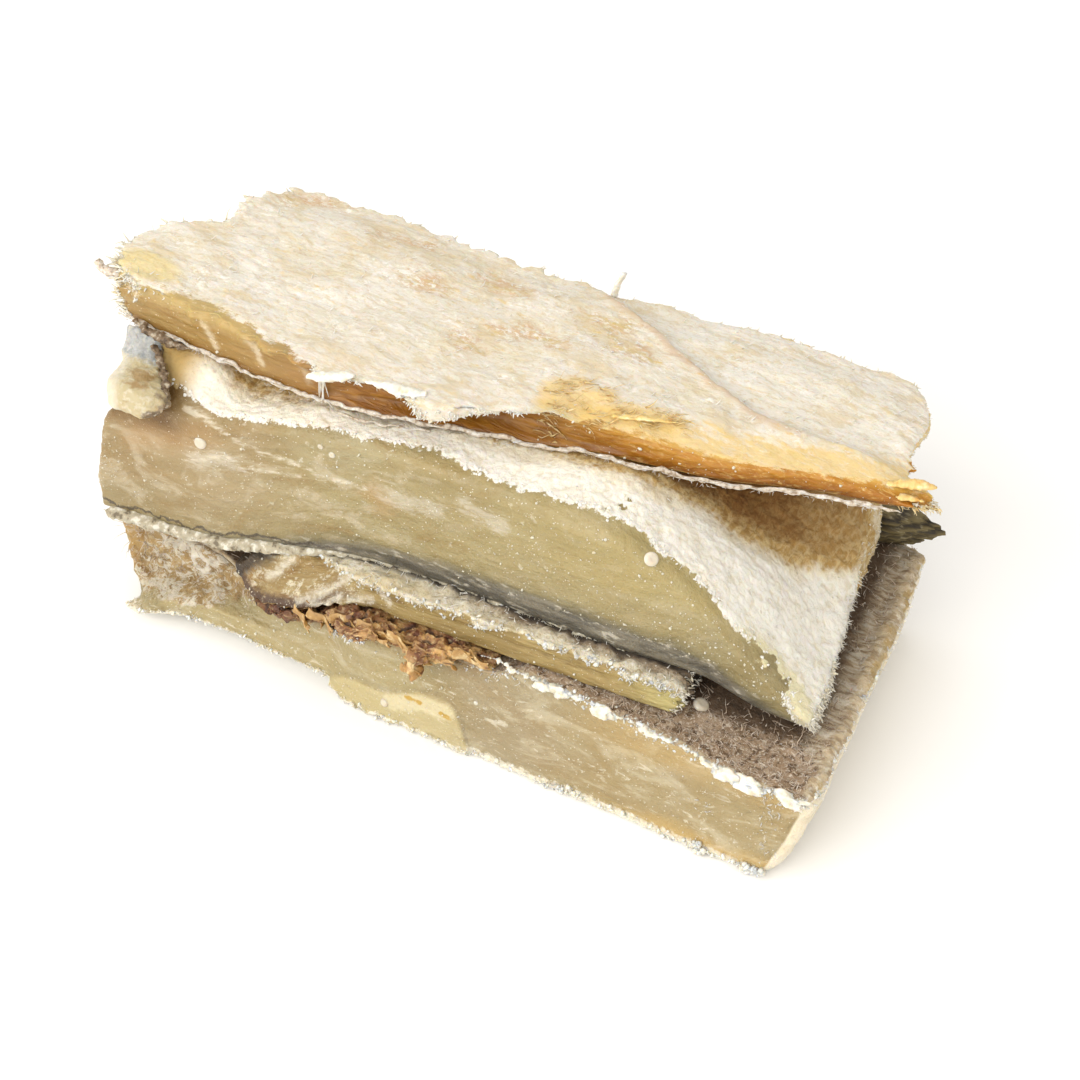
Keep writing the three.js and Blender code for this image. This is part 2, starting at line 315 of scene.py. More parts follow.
class Paint:
    """A material's node tree. Inputs are sockets, numbers, or colours as 0-255 display values."""

    def __init__(self, name, flow=None):
        """With flow, textures follow a field of heights in mm in place of the height."""
        self.material = bpy.data.materials.new(name)
        self.material.use_nodes = True
        self.tree = self.material.node_tree
        self.tree.nodes.clear()
        self.place = self.add("ShaderNodeTexCoord").outputs["Object"]
        if flow:
            axes = self.add("ShaderNodeSeparateXYZ", {0: self.place}).outputs
            level = self.math("MULTIPLY", self.field(flow), MM)
            self.place = self.add("ShaderNodeCombineXYZ", {0: axes[0], 1: axes[1], 2: level}).outputs[0]

    def add(self, kind, inputs=None, **settings):
        node = self.tree.nodes.new(kind)
        for key, value in settings.items():
            setattr(node, key, value)
        for key, value in (inputs or {}).items():
            socket = node.inputs[key]
            if isinstance(value, bpy.types.NodeSocket):
                self.tree.links.new(value, socket)
            elif socket.type == "RGBA":
                socket.default_value = (*linear(value), 1)
            else:
                socket.default_value = value
        return node

    def field(self, name):
        return self.add("ShaderNodeAttribute", attribute_name=name).outputs["Fac"]

    def scaled(self, size, stretch, seed):
        scale = tuple(1 / (MM * size * s) for s in stretch)
        return self.add("ShaderNodeVectorMath", {0: self.place, 1: scale, 2: (seed, seed, seed)},
                        operation="MULTIPLY_ADD").outputs[0]

    def grain(self, size, stretch=(1, 1, 1), detail=3, rough=0.55, seed=0, twist=0):
        """Noise around 0.5 with lumps of a size in mm."""
        return self.add("ShaderNodeTexNoise", {"Vector": self.scaled(size, stretch, seed), "Scale": 1,
                                               "Detail": detail, "Roughness": rough,
                                               "Distortion": twist}).outputs["Fac"]

    def cells(self, size, stretch=(1, 1, 1), seed=0):
        """The distance from scattered points about a size in mm apart."""
        return self.add("ShaderNodeTexVoronoi", {"Vector": self.scaled(size, stretch, seed), "Scale": 1},
                        feature="F1").outputs["Distance"]

    def math(self, operation, a, b=0.0, c=0.0):
        return self.add("ShaderNodeMath", {0: a, 1: b, 2: c}, operation=operation).outputs[0]

    def jitter(self, value, noise, size):
        """A value moved up and down by noise around 0.5."""
        return self.math("ADD", value, self.math("MULTIPLY_ADD", noise, size, -0.5 * size))

    def near(self, field, noise, size):
        """A field moved up and down by noise, so that what it draws has an uneven edge."""
        return self.jitter(self.field(field), noise, size)

    def both(self, a, b):
        return self.math("MULTIPLY", a, b)

    def ease(self, value, low, high, start=0.0, end=1.0):
        return self.add("ShaderNodeMapRange", {"Value": value, "From Min": low, "From Max": high,
                                               "To Min": start, "To Max": end},
                        interpolation_type="SMOOTHSTEP").outputs[0]

    def blend(self, share, a, b, how="MIX"):
        return self.add("ShaderNodeMix", {0: share, 6: a, 7: b}, data_type="RGBA", blend_type=how).outputs[2]

    def layers(self, colour, *over):
        """A colour with layers over it in turn, each (share, colour) or (value, low, high, share, colour):
        the second kind goes from nothing where the value is low to its share where the value is high."""
        for *share, layer in over:
            if len(share) > 1:
                value, low, high, most = share
                share = [self.ease(value, low, high, 0, most)]
            colour = self.blend(share[0], colour, layer)
        return colour

    def bump(self, height, distance):
        return self.add("ShaderNodeBump", {"Height": height, "Distance": distance * MM,
                                           "Strength": 1}).outputs[0]

    def done(self, colour, roughness, normal, glow, radius=(2.0, 1.4, 0.8)):
        """The finished material. Glow is the share of light that goes under the surface, radius how far."""
        shader = self.add("ShaderNodeBsdfPrincipled", {
            "Base Color": colour, "Roughness": roughness, "Normal": normal, "Specular IOR Level": 0.5,
            "Subsurface Weight": glow, "Subsurface Radius": radius, "Subsurface Scale": MM})
        output = self.add("ShaderNodeOutputMaterial")
        self.tree.links.new(shader.outputs[0], output.inputs["Surface"])
        return self.material


def waxy(paint, colour, deep, pale, warm):
    """The colour of a waxy cut face with clouds, lengthwise fibres and fine white salt, and its relief."""
    clouds = paint.grain(11, (2.4, 1, 1), seed=5, detail=4, twist=0.6)
    other = paint.grain(8, (2.6, 1, 1), seed=14, detail=4, twist=0.8)
    fibres = paint.grain(1.6, (6, 1.2, 1), seed=3, detail=4, rough=0.55, twist=0.6)
    salt = paint.grain(2.6, seed=10, detail=4, rough=0.7)
    colour = paint.layers(
        colour,
        (clouds, 0.45, 0.68, 0.6, deep),
        (other, 0.48, 0.72, 0.55, pale),
        (paint.grain(6, (3, 1, 1), seed=15, detail=3), 0.52, 0.74, 0.5, warm),
        (fibres, 0.54, 0.72, 0.25, pale),
        (fibres, 0.46, 0.28, 0.2, deep),
        (salt, 0.62, 0.72, 0.45, (236, 230, 212)),
        (paint.cells(0.8, (1.4, 1, 1), seed=2), 0.17, 0.07, 0.8, (246, 240, 224)),
    )
    return colour, paint.jitter(salt, fibres, 0.35)


def chalk(paint):
    """The colour of dry white salt crust, painted tan in its hollows as shade and whiter on its bumps as
    highlights, and its relief.
    """
    lumps = paint.grain(2.0, seed=21, detail=6, rough=0.7, twist=0.2)
    crumbs = paint.cells(1.2, seed=22)
    height = paint.jitter(lumps, crumbs, -0.35)
    colour = paint.layers(
        (255, 251, 240),
        (paint.grain(7, seed=24, detail=3), 0.5, 0.7, 0.4, (246, 236, 212)),
        # Painted shade in the hollows and painted highlights on the bumps.
        (height, 0.48, 0.3, 0.6, (234, 222, 194)),
        (height, 0.58, 0.74, 0.8, (264, 262, 254)),
        (paint.cells(2.2, seed=23), 0.15, 0.05, 0.4, (196, 176, 142)),
    )
    return colour, height


# ---------------------------------------------------------------- loin

def loin_place(u, v, w):
    left = -82.8 + 1.4 * w * w - 1.0 * np.sin(np.pi * w) + 1.4 * np.sin(4 * v)
    x = mix(left, loin_right(mix(-12, 38, v)), u)
    front = loin_front(x) + 1.6 * w * fall(x, -60, -20) + ripple(x, 8 * w, 0.25)
    y = mix(front, loin_back(x) + ripple(x, 9 * w, 0.4), v)
    # Behind the flap the flesh rises to the top portion.
    closed = rise(y, -25, -16) * fall(y, 20, 28) * fall(x, -66, -54) * w ** 3
    top = loin_top(x, y) - 7 * rise(y, 32, 44) * fall(x, 0, 12)
    top = mix(top, np.maximum(top, top_underside(x) - 0.5), closed)
    return x, y, mix(loin_underside(x), top, w)


def loin_size(u, v, w):
    x, y, _ = loin_place(u, v, w)
    return 146, loin_back(x) - loin_front(x), loin_top(x, y) - loin_underside(x)


def far_from(x, z, lines):
    """How far each (x, z) is from the nearest of some broken lines, 50 at the most."""
    spot = np.stack([x, z], 1)
    far = np.full(len(x), 50.0)
    for points in lines:
        for start, end in zip(np.array(points[:-1], float), np.array(points[1:], float)):
            span = end - start
            t = np.clip((spot - start) @ span / (span @ span), 0, 1)
            far = np.minimum(far, np.linalg.norm(spot - start - t[:, None] * span, axis=1))
    return far


LOIN_VEINS = [[(-62.7, 51.2), (-58, 50.8), (-54.6, 49.8), (-50.7, 48.0), (-46.1, 47.2), (-42.6, 47.4),
               (-36, 46.7), (-33.7, 45.6), (-29.2, 45.9), (-24.2, 45.7)],
              [(-63.5, 40.1), (-58.9, 41.7), (-53.7, 44), (-49.9, 42.3), (-43.4, 43.8), (-37.6, 44.5)]]
LOIN_CLOUDS = [[(-60.5, 41), (-56, 43), (-51, 42.4)], [(-20.4, 46), (-14.7, 46.3), (-8.2, 46.8)],
               [(-2, 50), (4, 49)]]
LOIN_WARM = [[(-74, 42), (-66, 44), (-58, 47)], [(-21.6, 45), (-21, 44)]]


def make_loin():
    """The loin: a smooth cut front, lumpy chalk above it, and ropes of flesh towards the thin edge."""
    loin = Portion(cells=(236, 100, 42), place=loin_place, size=loin_size,
                   radius=lambda u, v, w: mix(0.9, 2.6, w), dense=(1, 1.2, 1))
    p = loin.points
    x, y, z = p.T
    height = z - loin_underside(x)
    depth = y - loin_front(x)
    # The chalk starts a little behind the front edge, and reaches it only towards the right.
    lobes = 1.3 * grain(p, (7, 5, 5), 3, seed=1)
    edge = curve([(-84, 15), (-74, 12), (-66, 6.5), (-58, 2.6), (-50, 1.9), (-32, 1.9), (-18, 1.9),
                  (-10, 2.6), (8, 2.2), (15, 3.0), (22, 4.2), (30, 4.4), (38, 3.9), (46, 2.8), (52, 1.8),
                  (57, 0.2), (61, -4), (64, -10)])(x)
    under_top = loin_top(x, y) - z
    chalky = depth - edge + lobes - 1.1 * under_top
    bare = (hill(np.hypot((x - 25.5) / 4, (y + 10.5) / 3.4), 0, 1)
            + hill(np.hypot((x - 57) / 7, (y + 9) / 3.4), 0, 1.2))
    chalky = chalky - 7 * bare * (0.6 + grain(p, 2.2, 2, seed=12))
    chalky = chalky - 14 * fall(x, -66, -58) * rise(y, -20, -14)
    # The cut left end is bare below its top edge.
    chalky = chalky - 40 * loin.left * rise(under_top, 0.5, 2.5)
    is_chalk = rise(chalky, -0.3, 0.5) * rise(height, 0.3, 1.2)
    # Fibres run down the slope towards the tip.
    run = np.stack([x + 1.2 * y, y - 0.5 * x, z], 1)
    ropes = grain(run, (6, 1.6, 4), 3, seed=3)
    relief = 0.35 * grain(p, 7, 3, seed=2) + 0.5 * np.abs(grain(p, 2.6, 2, seed=4))
    relief += 0.45 * np.abs(ropes) * rise(x, 4, 26) + 0.15
    face = 0.3 * grain(p, (14, 5, 4), 3, seed=6) + 0.1 * grain(p, (10, 1.2, 1.0), 2, seed=8)
    loin.push(mix(face, relief, is_chalk) * rise(height, 0, 1.5))
    band = curve([(-84, -1.6), (-60, -1), (-46, 0.4), (-34, 1.8), (-14, 3.4), (10, 4.4), (30, 4.6),
                  (40, 4.2), (48, 2.9), (56, 1.0), (66, -1.2)])(x)
    line = 1.5 + 1.5 * grain(p * [1, 0, 0], (6, 1, 1), 4, seed=15)
    # Painted shade: behind this line the loin's top is coloured gold and brown, where the top portion shades
    # it.
    shaded = curve([(-84, -19.5), (-66, -16.8), (-57, -16.6), (-42, -15.8), (-22, -13.2), (-2, -10),
                    (18, -7), (26, -4), (33, 1.2), (40, 3.6), (46, 8), (52, 17), (56, 26)])(x)
    skyward = np.maximum(loin.top, loin.right)
    loin.fields = {
        "chalk": chalky,
        "line": height - line,
        "band": band - height,
        "height": height,
        "along": x,
        "under": (depth > 1.2) * loin.bottom,
        "painted_shade": (y - shaded) * skyward + FAR * (skyward - 1) - 26 * rise(y, 22, 44),
        "vein": far_from(x, z, LOIN_VEINS),
        "cloud": far_from(x, z, LOIN_CLOUDS),
        "warm": far_from(x, z, LOIN_WARM),
        "tip": fall(np.hypot((x - 57) / 10, (y + 11) / 6), 0.3, 1.3),
    }
    return loin


def loin_material():
    """Tan to olive wax with pale veins and a slate band at its foot, chalk, and painted gold shade under the
    top portion.
    """
    paint = Paint("loin", "height")
    along, height = paint.field("along"), paint.field("height")
    tan, relief = waxy(paint, (164, 143, 101), (150, 125, 80), (180, 163, 130), (165, 136, 86))
    olive, _ = waxy(paint, (164, 148, 102), (148, 130, 82), (178, 168, 132), (168, 146, 92))
    edge = paint.grain(5, (2, 1, 1), seed=30, detail=4)
    face = paint.blend(paint.ease(paint.jitter(along, edge, 60), -62, -22), tan, olive)
    face = paint.blend(paint.ease(paint.jitter(height, edge, 14), 12, 3, 0, 0.45), face, (146, 132, 92))
    yellow = paint.both(paint.ease(along, -6, 34), paint.ease(paint.jitter(height, edge, 10), 8, 17))
    face = paint.blend(paint.both(yellow, 0.5), face, (182, 163, 104))
    wisp = paint.grain(1.6, (3, 1, 1), seed=32, detail=6, rough=0.7, twist=0.8)
    haze = paint.grain(6, (2, 1, 1), seed=36, detail=6, rough=0.65, twist=1)
    face = paint.layers(
        face,
        (paint.both(paint.ease(haze, 0.5, 0.64, 0, 0.6), paint.ease(along, 10, -30, 0.3, 1)),
         (198, 184, 156)),
        (paint.both(paint.ease(haze, 0.46, 0.36, 0, 0.5), paint.ease(along, 10, -30, 0.3, 1)),
         (150, 122, 72)),
        (paint.near("warm", wisp, 8), 5.0, 0.5, 0.35, (186, 142, 88)),
        (paint.near("cloud", wisp, 11), 3.0, 0.2, 0.42, (222, 214, 198)),
        (paint.near("vein", wisp, 4.2), 0.8, -0.4, 0.85, (228, 218, 196)))
    streak = paint.grain(1.8, (10, 1, 1), seed=31, detail=4)
    band = paint.near("band", streak, 4)
    slate = paint.blend(paint.ease(streak, 0.42, 0.6), (88, 84, 76), (128, 121, 106))
    flecks = paint.ease(paint.grain(1.2, (3, 1, 1), seed=33, detail=5), 0.56, 0.68, 0, 0.7)
    face = paint.layers(face, (band, -4.0, 0.0, 0.7, (122, 112, 74)), (band, -2.4, 0.8, 0.94, slate),
                        (paint.both(paint.ease(band, -3, 0), flecks), (206, 198, 180)))
    rough = paint.grain(0.9, seed=35, detail=4)
    line = paint.math("ABSOLUTE", paint.near("line", rough, 1.8))
    broken = paint.ease(paint.jitter(line, wisp, 0.7), 0.42, 0.08)
    face = paint.blend(paint.both(broken, paint.ease(along, -24, -36, 0, 0.85)), face, (72, 62, 52))
    white, lumps = chalk(paint)
    white = paint.blend(paint.ease(paint.near("tip", lumps, 1.4), 0.35, 0.8, 0, 0.7), white,
                        (230, 218, 164))
    chalky = paint.ease(paint.near("chalk", lumps, 3.4), -0.2, 0.3)
    # How far a point lies behind the line of painted shade under the top portion.
    shade = paint.jitter(paint.near("painted_shade", lumps, 6), edge, 9)
    # Painted light: at the left, the chalk just in front of the painted shade is made whiter than white.
    white = paint.blend(paint.both(paint.ease(shade, -9, -4, 0, 0.75), paint.ease(along, -20, -40)), white,
                        (274, 267, 250))
    colour = paint.blend(chalky, face, white)
    # Painted shade under the top portion: a warm tint in front of its line, gold behind it, and a darker
    # brown further back that is paler towards the right.
    fibre = paint.grain(1.3, (1, 2.4, 1), seed=37, detail=6, rough=0.72, twist=0.8)
    gold = paint.blend(paint.ease(fibre, 0.42, 0.6), (204, 168, 96), (238, 216, 168))
    colour = paint.blend(paint.ease(shade, -3.4, -0.6, 0, 0.4), colour, (248, 232, 192), "MULTIPLY")
    colour = paint.blend(paint.ease(shade, -0.8, 2.6, 0, 0.95), colour, gold, "MULTIPLY")
    paler = paint.ease(paint.jitter(along, edge, 14), 36, 54, 1, 0.35)
    colour = paint.blend(paint.both(paint.ease(shade, 2.4, 7.0, 0, 0.9), paler), colour, (186, 148, 80),
                         "MULTIPLY")
    colour = paint.blend(paint.field("under"), colour, paint.blend(rough, (110, 92, 68), (176, 162, 138)))
    # Painted shade on the flesh that rises behind the flap under the top portion.
    colour = paint.blend(paint.both(paint.ease(along, -60, -68), paint.ease(height, 19, 24)), colour,
                         (208, 180, 124), "MULTIPLY")
    bump = paint.bump(paint.blend(chalky, relief, lumps), 0.8)
    return paint.done(colour, paint.ease(chalky, 0, 1, 0.42, 0.95), bump, glow=0.4, radius=(3, 2, 1))


# ---------------------------------------------------------------- base

base_right = curve([(0, 71), (0.05, 72), (0.21, 70.4), (0.34, 69), (0.53, 65.8), (0.69, 63.4), (0.89, 60.2),
                    (1, 58.4)])


def base_place(u, v, w):
    left = curve([(0, -77.7), (0.05, -76.5), (0.09, -75.4), (0.15, -78.2), (0.2, -80.6), (0.3, -83),
                  (1, -84.9)])(w)
    left = left + 6 * (1 - w) * v
    right = base_right(v) - mix(6.2, 5, v) * (1 - w) ** 1.3 + 0.4 * np.sin(9 * v + 2 * w)
    x = mix(left + 1.4 * np.sin(5 * v), right, u)
    ledge = curve([(-80, -0.06), (-75, -0.02), (-68, 0.2), (-60, 0.34), (-50, 0.42)])(x)
    soft = curve([(-80, 0.36), (-75, 0.3), (-68, 0.16)])(x)
    step = mix(rise(w, ledge, ledge + soft), rise(w, 0.15, 0.7), rise(x, -54, -38))
    front = mix(base_front_foot(x), base_front_head(x), step)
    y = mix(front, 48 + ripple(x, 9 * w, 0.9), v)
    lift = (curve([(-80, 1.7), (-73, 1.9), (-64, 3.1), (-50, 3.6)])(x) - 0.02 * y) * fall(x, -30, -24)
    return x, y, mix(lift, base_top(x, y) + ripple(x, y, 0.15), w)


def base_size(u, v, w):
    x = base_place(u, v, w)[0]
    return 148, 48 - base_front_head(x), base_crest(x) - 2


flake_top = curve([(-29, 3), (-27, 5.5), (-20, 6.5), (-14.5, 6.9), (-7.4, 9.7), (-1.8, 10), (0.5, 8.4),
                   (3, 3), (5, -3)])


BASE_PATCH = [[(-14, 5.0), (-7, 7.6), (-1.5, 8.0)]]
BASE_SLOTS = [[(-10.5, 7.6), (-9.3, 7.6)], [(-8, 7.6), (-7.2, 7.7)], [(-2.8, 7.3), (-0.6, 7.0)]]


def make_base():
    """The base: a smooth cut front with a torn wall at its left, and fuzzy skin with a ragged rim."""
    base = Portion(cells=(240, 88, 36), place=base_place, size=base_size,
                   radius=lambda u, v, w: mix(0.8, 1.3, w) + 1.4 * rise(u, 0.94, 1), dense=(1, 1.12, 1))
    p = base.points
    x, y, z = p.T
    right_edge = base_right(np.clip((y + 26) / 74, 0, 1))
    inset_right = (1.8 + 0.8 * rise(y, -20, -4) + 0.8 * grain(p * [0, 1, 0], 8, 2, seed=51)
                   + 0.6 * grain(p, 1.4, 3, seed=52))
    inset_front = 0.6 + 0.7 * grain(p * [1, 0, 0], 8, 2, seed=53) + 0.6 * grain(p, 1.4, 3, seed=54)
    skin = np.minimum(right_edge - x - inset_right, y - base_front_head(x) - inset_front)
    skin = np.where(base.top == 1, skin, -3)
    wall_foot = curve([(-82, 3.8), (-76, 4.2), (-68, 7), (-60, 8), (-50, 11), (-44, 16), (-40, 40)])(x)
    wall = np.clip((z - wall_foot) / 1.5 + 0.8 * grain(p, 3, 2, seed=55), -3, 3)
    wall = base.front * wall + 6 * (base.front - 1)
    ring = np.abs(np.hypot(x + 63.6, z - 13.2) - 2.0)
    pit = hill(np.hypot((x + 54.8) / 4.4, (z - 18) / 3.8), 0.2, 1) * base.front
    fuzz = 0.45 * grain(p, 1.7, 3, seed=56) + 0.5 * grain(p, 5, 2, seed=57)
    frill = (0.7 + 0.8 * grain(p * [0.3, 1, 0], 3.0, 3, seed=58)
             + 0.5 * grain(p * [0.4, 1, 0], 1.6, 3, seed=64))
    lip = hill(right_edge - x, 1.6, 3.2) * frill * base.top
    # The skin lies in the loin's shade, and beside it.
    shade = np.maximum(rise(y - loin_front(x), -4, 1) * fall(x, 60, 66),
                       fall(x - loin_right(y), 0.3, 2.4) * rise(y, -16, -8))
    face = 0.3 * grain(p, (16, 6, 5), 3, seed=59) + 0.1 * grain(p, (9, 1.5, 1.2), 2, seed=60)
    flake = base.front * fall(z - flake_top(x), -0.5, 0.4)
    rough_wall = 0.7 * grain(p, 3, 3, seed=61) + 0.35 * grain(p, 1.2, 2, seed=62) + 0.7 * fall(ring, 0.2, 1.0)
    push = mix(face, fuzz * 0.8, rise(skin, -0.3, 0.8)) + 1.5 * lip
    push = mix(push, rough_wall, rise(wall, -0.5, 0.5)) + 0.8 * flake - 6 * pit
    ragged = 1.0 * grain(p, (1.6, 1.3, 2), 3, seed=63) * base.front * fall(base.w, 0, 0.07)
    base.push((push + ragged) * (1 - base.bottom))
    off_front = FAR * (1 - base.front)
    base.fields = {
        "skin": skin,
        "shade": shade,
        "rim": right_edge - x + FAR * fall(y, -22, -12),
        "wall": wall,
        "ring": ring + off_front,
        "pit": pit,
        "edge": x + 83 - 0.3 * z + off_front,
        "height": z - 3.6 * fall(x, -30, -24),
        "share": base.w,
        "along": x,
        "flake": (flake_top(x) - z) + 40 * (base.front - 1),
        "patch": far_from(x, z, BASE_PATCH) + off_front,
        "slot": far_from(x, z, BASE_SLOTS) + off_front,
        "end": base.right,
    }
    return base


def base_material():
    """Olive to beige wax, a wall laced with white, a pale foot, painted light on the right end, and brown
    wool on top.
    """
    paint = Paint("base", "height")
    along, height = paint.field("along"), paint.field("height")
    olive, relief = waxy(paint, (174, 158, 112), (150, 132, 84), (188, 176, 144), (170, 146, 92))
    beige, _ = waxy(paint, (166, 147, 104), (154, 129, 80), (184, 170, 140), (168, 140, 86))
    edge = paint.grain(6, (2.4, 1, 1), seed=70, detail=4)
    face = paint.blend(paint.ease(paint.jitter(along, edge, 50), -14, 14), olive, beige)
    haze = paint.math("ABSOLUTE", paint.math("ADD", along, -10))
    face = paint.blend(paint.ease(paint.jitter(haze, edge, 30), 22, 4, 0, 0.4), face, (160, 148, 124))
    rough = paint.grain(1.1, seed=73, detail=5, rough=0.7)
    low = paint.jitter(height, edge, 6)
    cloud = paint.grain(7, (2.4, 1, 1), seed=66, detail=6, rough=0.68, twist=1)
    face = paint.layers(
        face,
        (cloud, 0.5, 0.66, 0.6, (206, 194, 164)),
        (paint.grain(1.8, (3, 1, 1), seed=67, detail=5, rough=0.7, twist=1), 0.58, 0.68, 0.6,
         (232, 224, 202)),
        (paint.both(paint.ease(low, 6, 2), paint.ease(along, 24, 50, 0, 0.7)), (206, 172, 104)),
        (paint.both(paint.ease(low, 13, 18), paint.ease(along, 20, 40, 0, 0.5)), (196, 166, 108)),
        (paint.both(paint.ease(paint.math("ABSOLUTE", paint.jitter(height, rough, 4)), 2.6, 1.6),
                    paint.ease(along, -4, 8, 0, 0.8)), (238, 230, 208)),
        # Painted shade along the top of the front, under the membrane and the strip.
        (paint.both(paint.ease(paint.near("share", rough, 0.3), 0.7, 1.0, 0, 0.75),
                    paint.ease(paint.jitter(along, edge, 14), 10, 0)), (132, 104, 60)),
        (paint.near("flake", rough, 1.6), -0.3, 0.8, 0.5, (216, 200, 148)),
        (paint.near("patch", rough, 2.4), 2.2, 1.0, 0.7, (226, 214, 176)),
        (paint.near("slot", rough, 0.6), 0.6, 0.3, 1, (196, 160, 70)))
    lace = paint.jitter(paint.grain(7, (1.4, 1, 1), seed=75, detail=3),
                        paint.grain(1.6, (1.5, 1, 1), seed=78, detail=6, rough=0.75, twist=1.5), 1.6)
    wall = paint.layers(
        (180, 151, 102),
        (paint.grain(5, seed=74, detail=3), 0.45, 0.6, 0.8, (148, 120, 78)),
        (rough, 0.5, 0.68, 0.7, (206, 186, 146)),
        (lace, 0.46, 0.6, 0.85, (228, 220, 202)),
        (paint.near("ring", rough, 1.0), 0.75, 0.35, 1, (236, 228, 212)),
        # Painted shade in the pit.
        (paint.field("pit"), (70, 50, 32)),
        (paint.near("edge", rough, 1.0), 1.2, 0.2, 0.5, (186, 148, 86)))
    # Painted shade along the wall's top, under the overhang above it.
    wall = paint.blend(paint.ease(paint.field("share"), 0.86, 1.0, 0, 0.8), wall, (104, 84, 62))
    on_wall = paint.ease(paint.near("wall", rough, 1.4), -0.3, 0.3)
    face = paint.blend(on_wall, face, wall)
    foot = paint.ease(paint.near("share", rough, 0.3), 0.08, 0.03)
    # Painted light: the right end is painted much paler than the front, as if lit from the right.
    end = paint.layers((246, 234, 206), (edge, 0.42, 0.6, 0.8, (230, 212, 176)),
                       (rough, 0.48, 0.66, 0.7, (246, 236, 212)),
                       (low, 8, 2, 0.6, (246, 236, 214)))
    face = paint.layers(face, (foot, (244, 238, 220)), (paint.field("end"), end))
    wool = paint.layers(
        (158, 132, 104),
        (paint.grain(5, seed=79, detail=3), 0.46, 0.62, 0.8, (188, 164, 138)),
        (paint.grain(1.4, seed=77, detail=3), 0.5, 0.62, 0.9, (94, 70, 46)),
        (paint.grain(1.0, seed=76, twist=2, detail=5, rough=0.7), 0.5, 0.62, 0.9, (228, 214, 196)))
    skin = paint.near("skin", rough, 2.4)
    wool = paint.blend(paint.ease(paint.near("shade", rough, 0.6), 0.2, 0.9, 0, 0.9), wool, (92, 70, 48))
    stripes = paint.grain(0.9, (4, 1, 1), seed=72, detail=4, twist=0.4)
    frill = paint.layers((204, 186, 158), (stripes, 0.5, 0.62, 0.8, (236, 228, 210)),
                         (stripes, 0.47, 0.38, 0.8, (146, 122, 94)))
    wool = paint.blend(paint.ease(paint.near("rim", rough, 3.0), 8.4, 5.0, 0, 0.85), wool, frill)
    rim = paint.layers((200, 184, 156), (rough, 0.5, 0.64, 1, (232, 224, 208)),
                       (paint.grain(1.0, (3, 1, 1), seed=71, detail=4), 0.5, 0.6, 0.7, (150, 126, 96)))
    colour = paint.layers(face, (skin, -1.6, -0.9, 0.85, rim), (skin, -0.2, 0.8, 1, wool))
    rugged = paint.math("MAXIMUM", paint.ease(skin, -1, 0.5), on_wall)
    bump = paint.bump(paint.blend(rugged, relief, rough), 0.9)
    return paint.done(colour, paint.ease(rugged, 0, 1, 0.42, 0.92), bump, glow=0.35, radius=(3, 2, 1))


# ---------------------------------------------------------------- belly strip, membrane, rear strip

def strip_place(u, v, w):
    x = mix(-54 + 5.5 * v + 4.5 * rise(w, 0.3, 1), 42.5 - 5.5 * v, u)
    belly = 3.6 * (1 - w) ** 1.5 * fall(x, -30, -18) * rise(x, -54, -46)
    y = mix(strip_front(x) + 0.8 * w - belly, 36 + ripple(x, 0, 0.8), v)
    return x, y, mix(strip_bottom(x), strip_top(x), w)


def strip_size(u, v, w):
    x = strip_place(u, v, w)[0]
    return 95, 36 - strip_front(x), strip_thickness(x)


STRIP_WISPS = [[(-44.2, 20.4), (-42.4, 21.6), (-40.9, 23.8), (-38.5, 26)],
               [(-35.8, 19.4), (-32, 21.8), (-29, 24.5), (-25.5, 27.5)],
               [(-33, 20.5), (-29, 21.5), (-26, 24)],
               [(-18, 27.6), (-16, 25.6)], [(-24, 24), (-20, 25)]]


def make_strip():
    """The belly strip: a rind at the front, a fuzzy top, and a ragged right end."""
    strip = Portion(cells=(190, 56, 14), place=strip_place, size=strip_size, radius=1.1, dense=(1, 1.25, 1))
    p = strip.points
    x, y, z = p.T
    depth = y - strip_front(x)
    p[:, 0] += rise(x, 32, 44) * (2.2 * grain(p * [0, 1, 1], (1, 1.1, 0.9), 2, seed=81))
    edge = curve([(-54, 9), (-38, 5), (-30, 1.4), (-20, 0.0), (20, 0.2), (44, 0.2)])(x)
    cream = depth - edge - 0.9 * (strip_top(x) - z) + 1.3 * grain(p, (5, 3, 3), 3, seed=82)
    fuzzy = rise(cream, -0.4, 0.6)
    # The rim under the fuzzy top is folded over in places.
    fold = hill(z - strip_bottom(x) - 0.55 * strip_thickness(x),
                0.6 * grain(p * [1, 0, 0], (9, 1, 1), 2, seed=85), 0.9)
    rind = 0.35 * grain(p, (8, 2, 1.6), 3, seed=84) + 0.6 * fall(x, -26, -16) * grain(p, 2.6, 3, seed=86)
    rind = rind - 0.5 * fold * rise(x, -30, -10) * strip.front
    strip.push(mix(rind, 0.8 * grain(p, 2.6, 3, seed=83) + 0.4, fuzzy * (strip.top + strip.front)))
    strip.fields = {
        "cream": cream,
        "gap": y - loin_front(x),
        "along": x,
        "share": strip.w,
        "depth": depth,
        "height": z - strip_bottom(x),
        "wisp": far_from(x, z, STRIP_WISPS) + FAR * (y > strip_front(x) + 3),
        "low": z - strip_bottom(x) + FAR * (1 - strip.front),
    }
    return strip


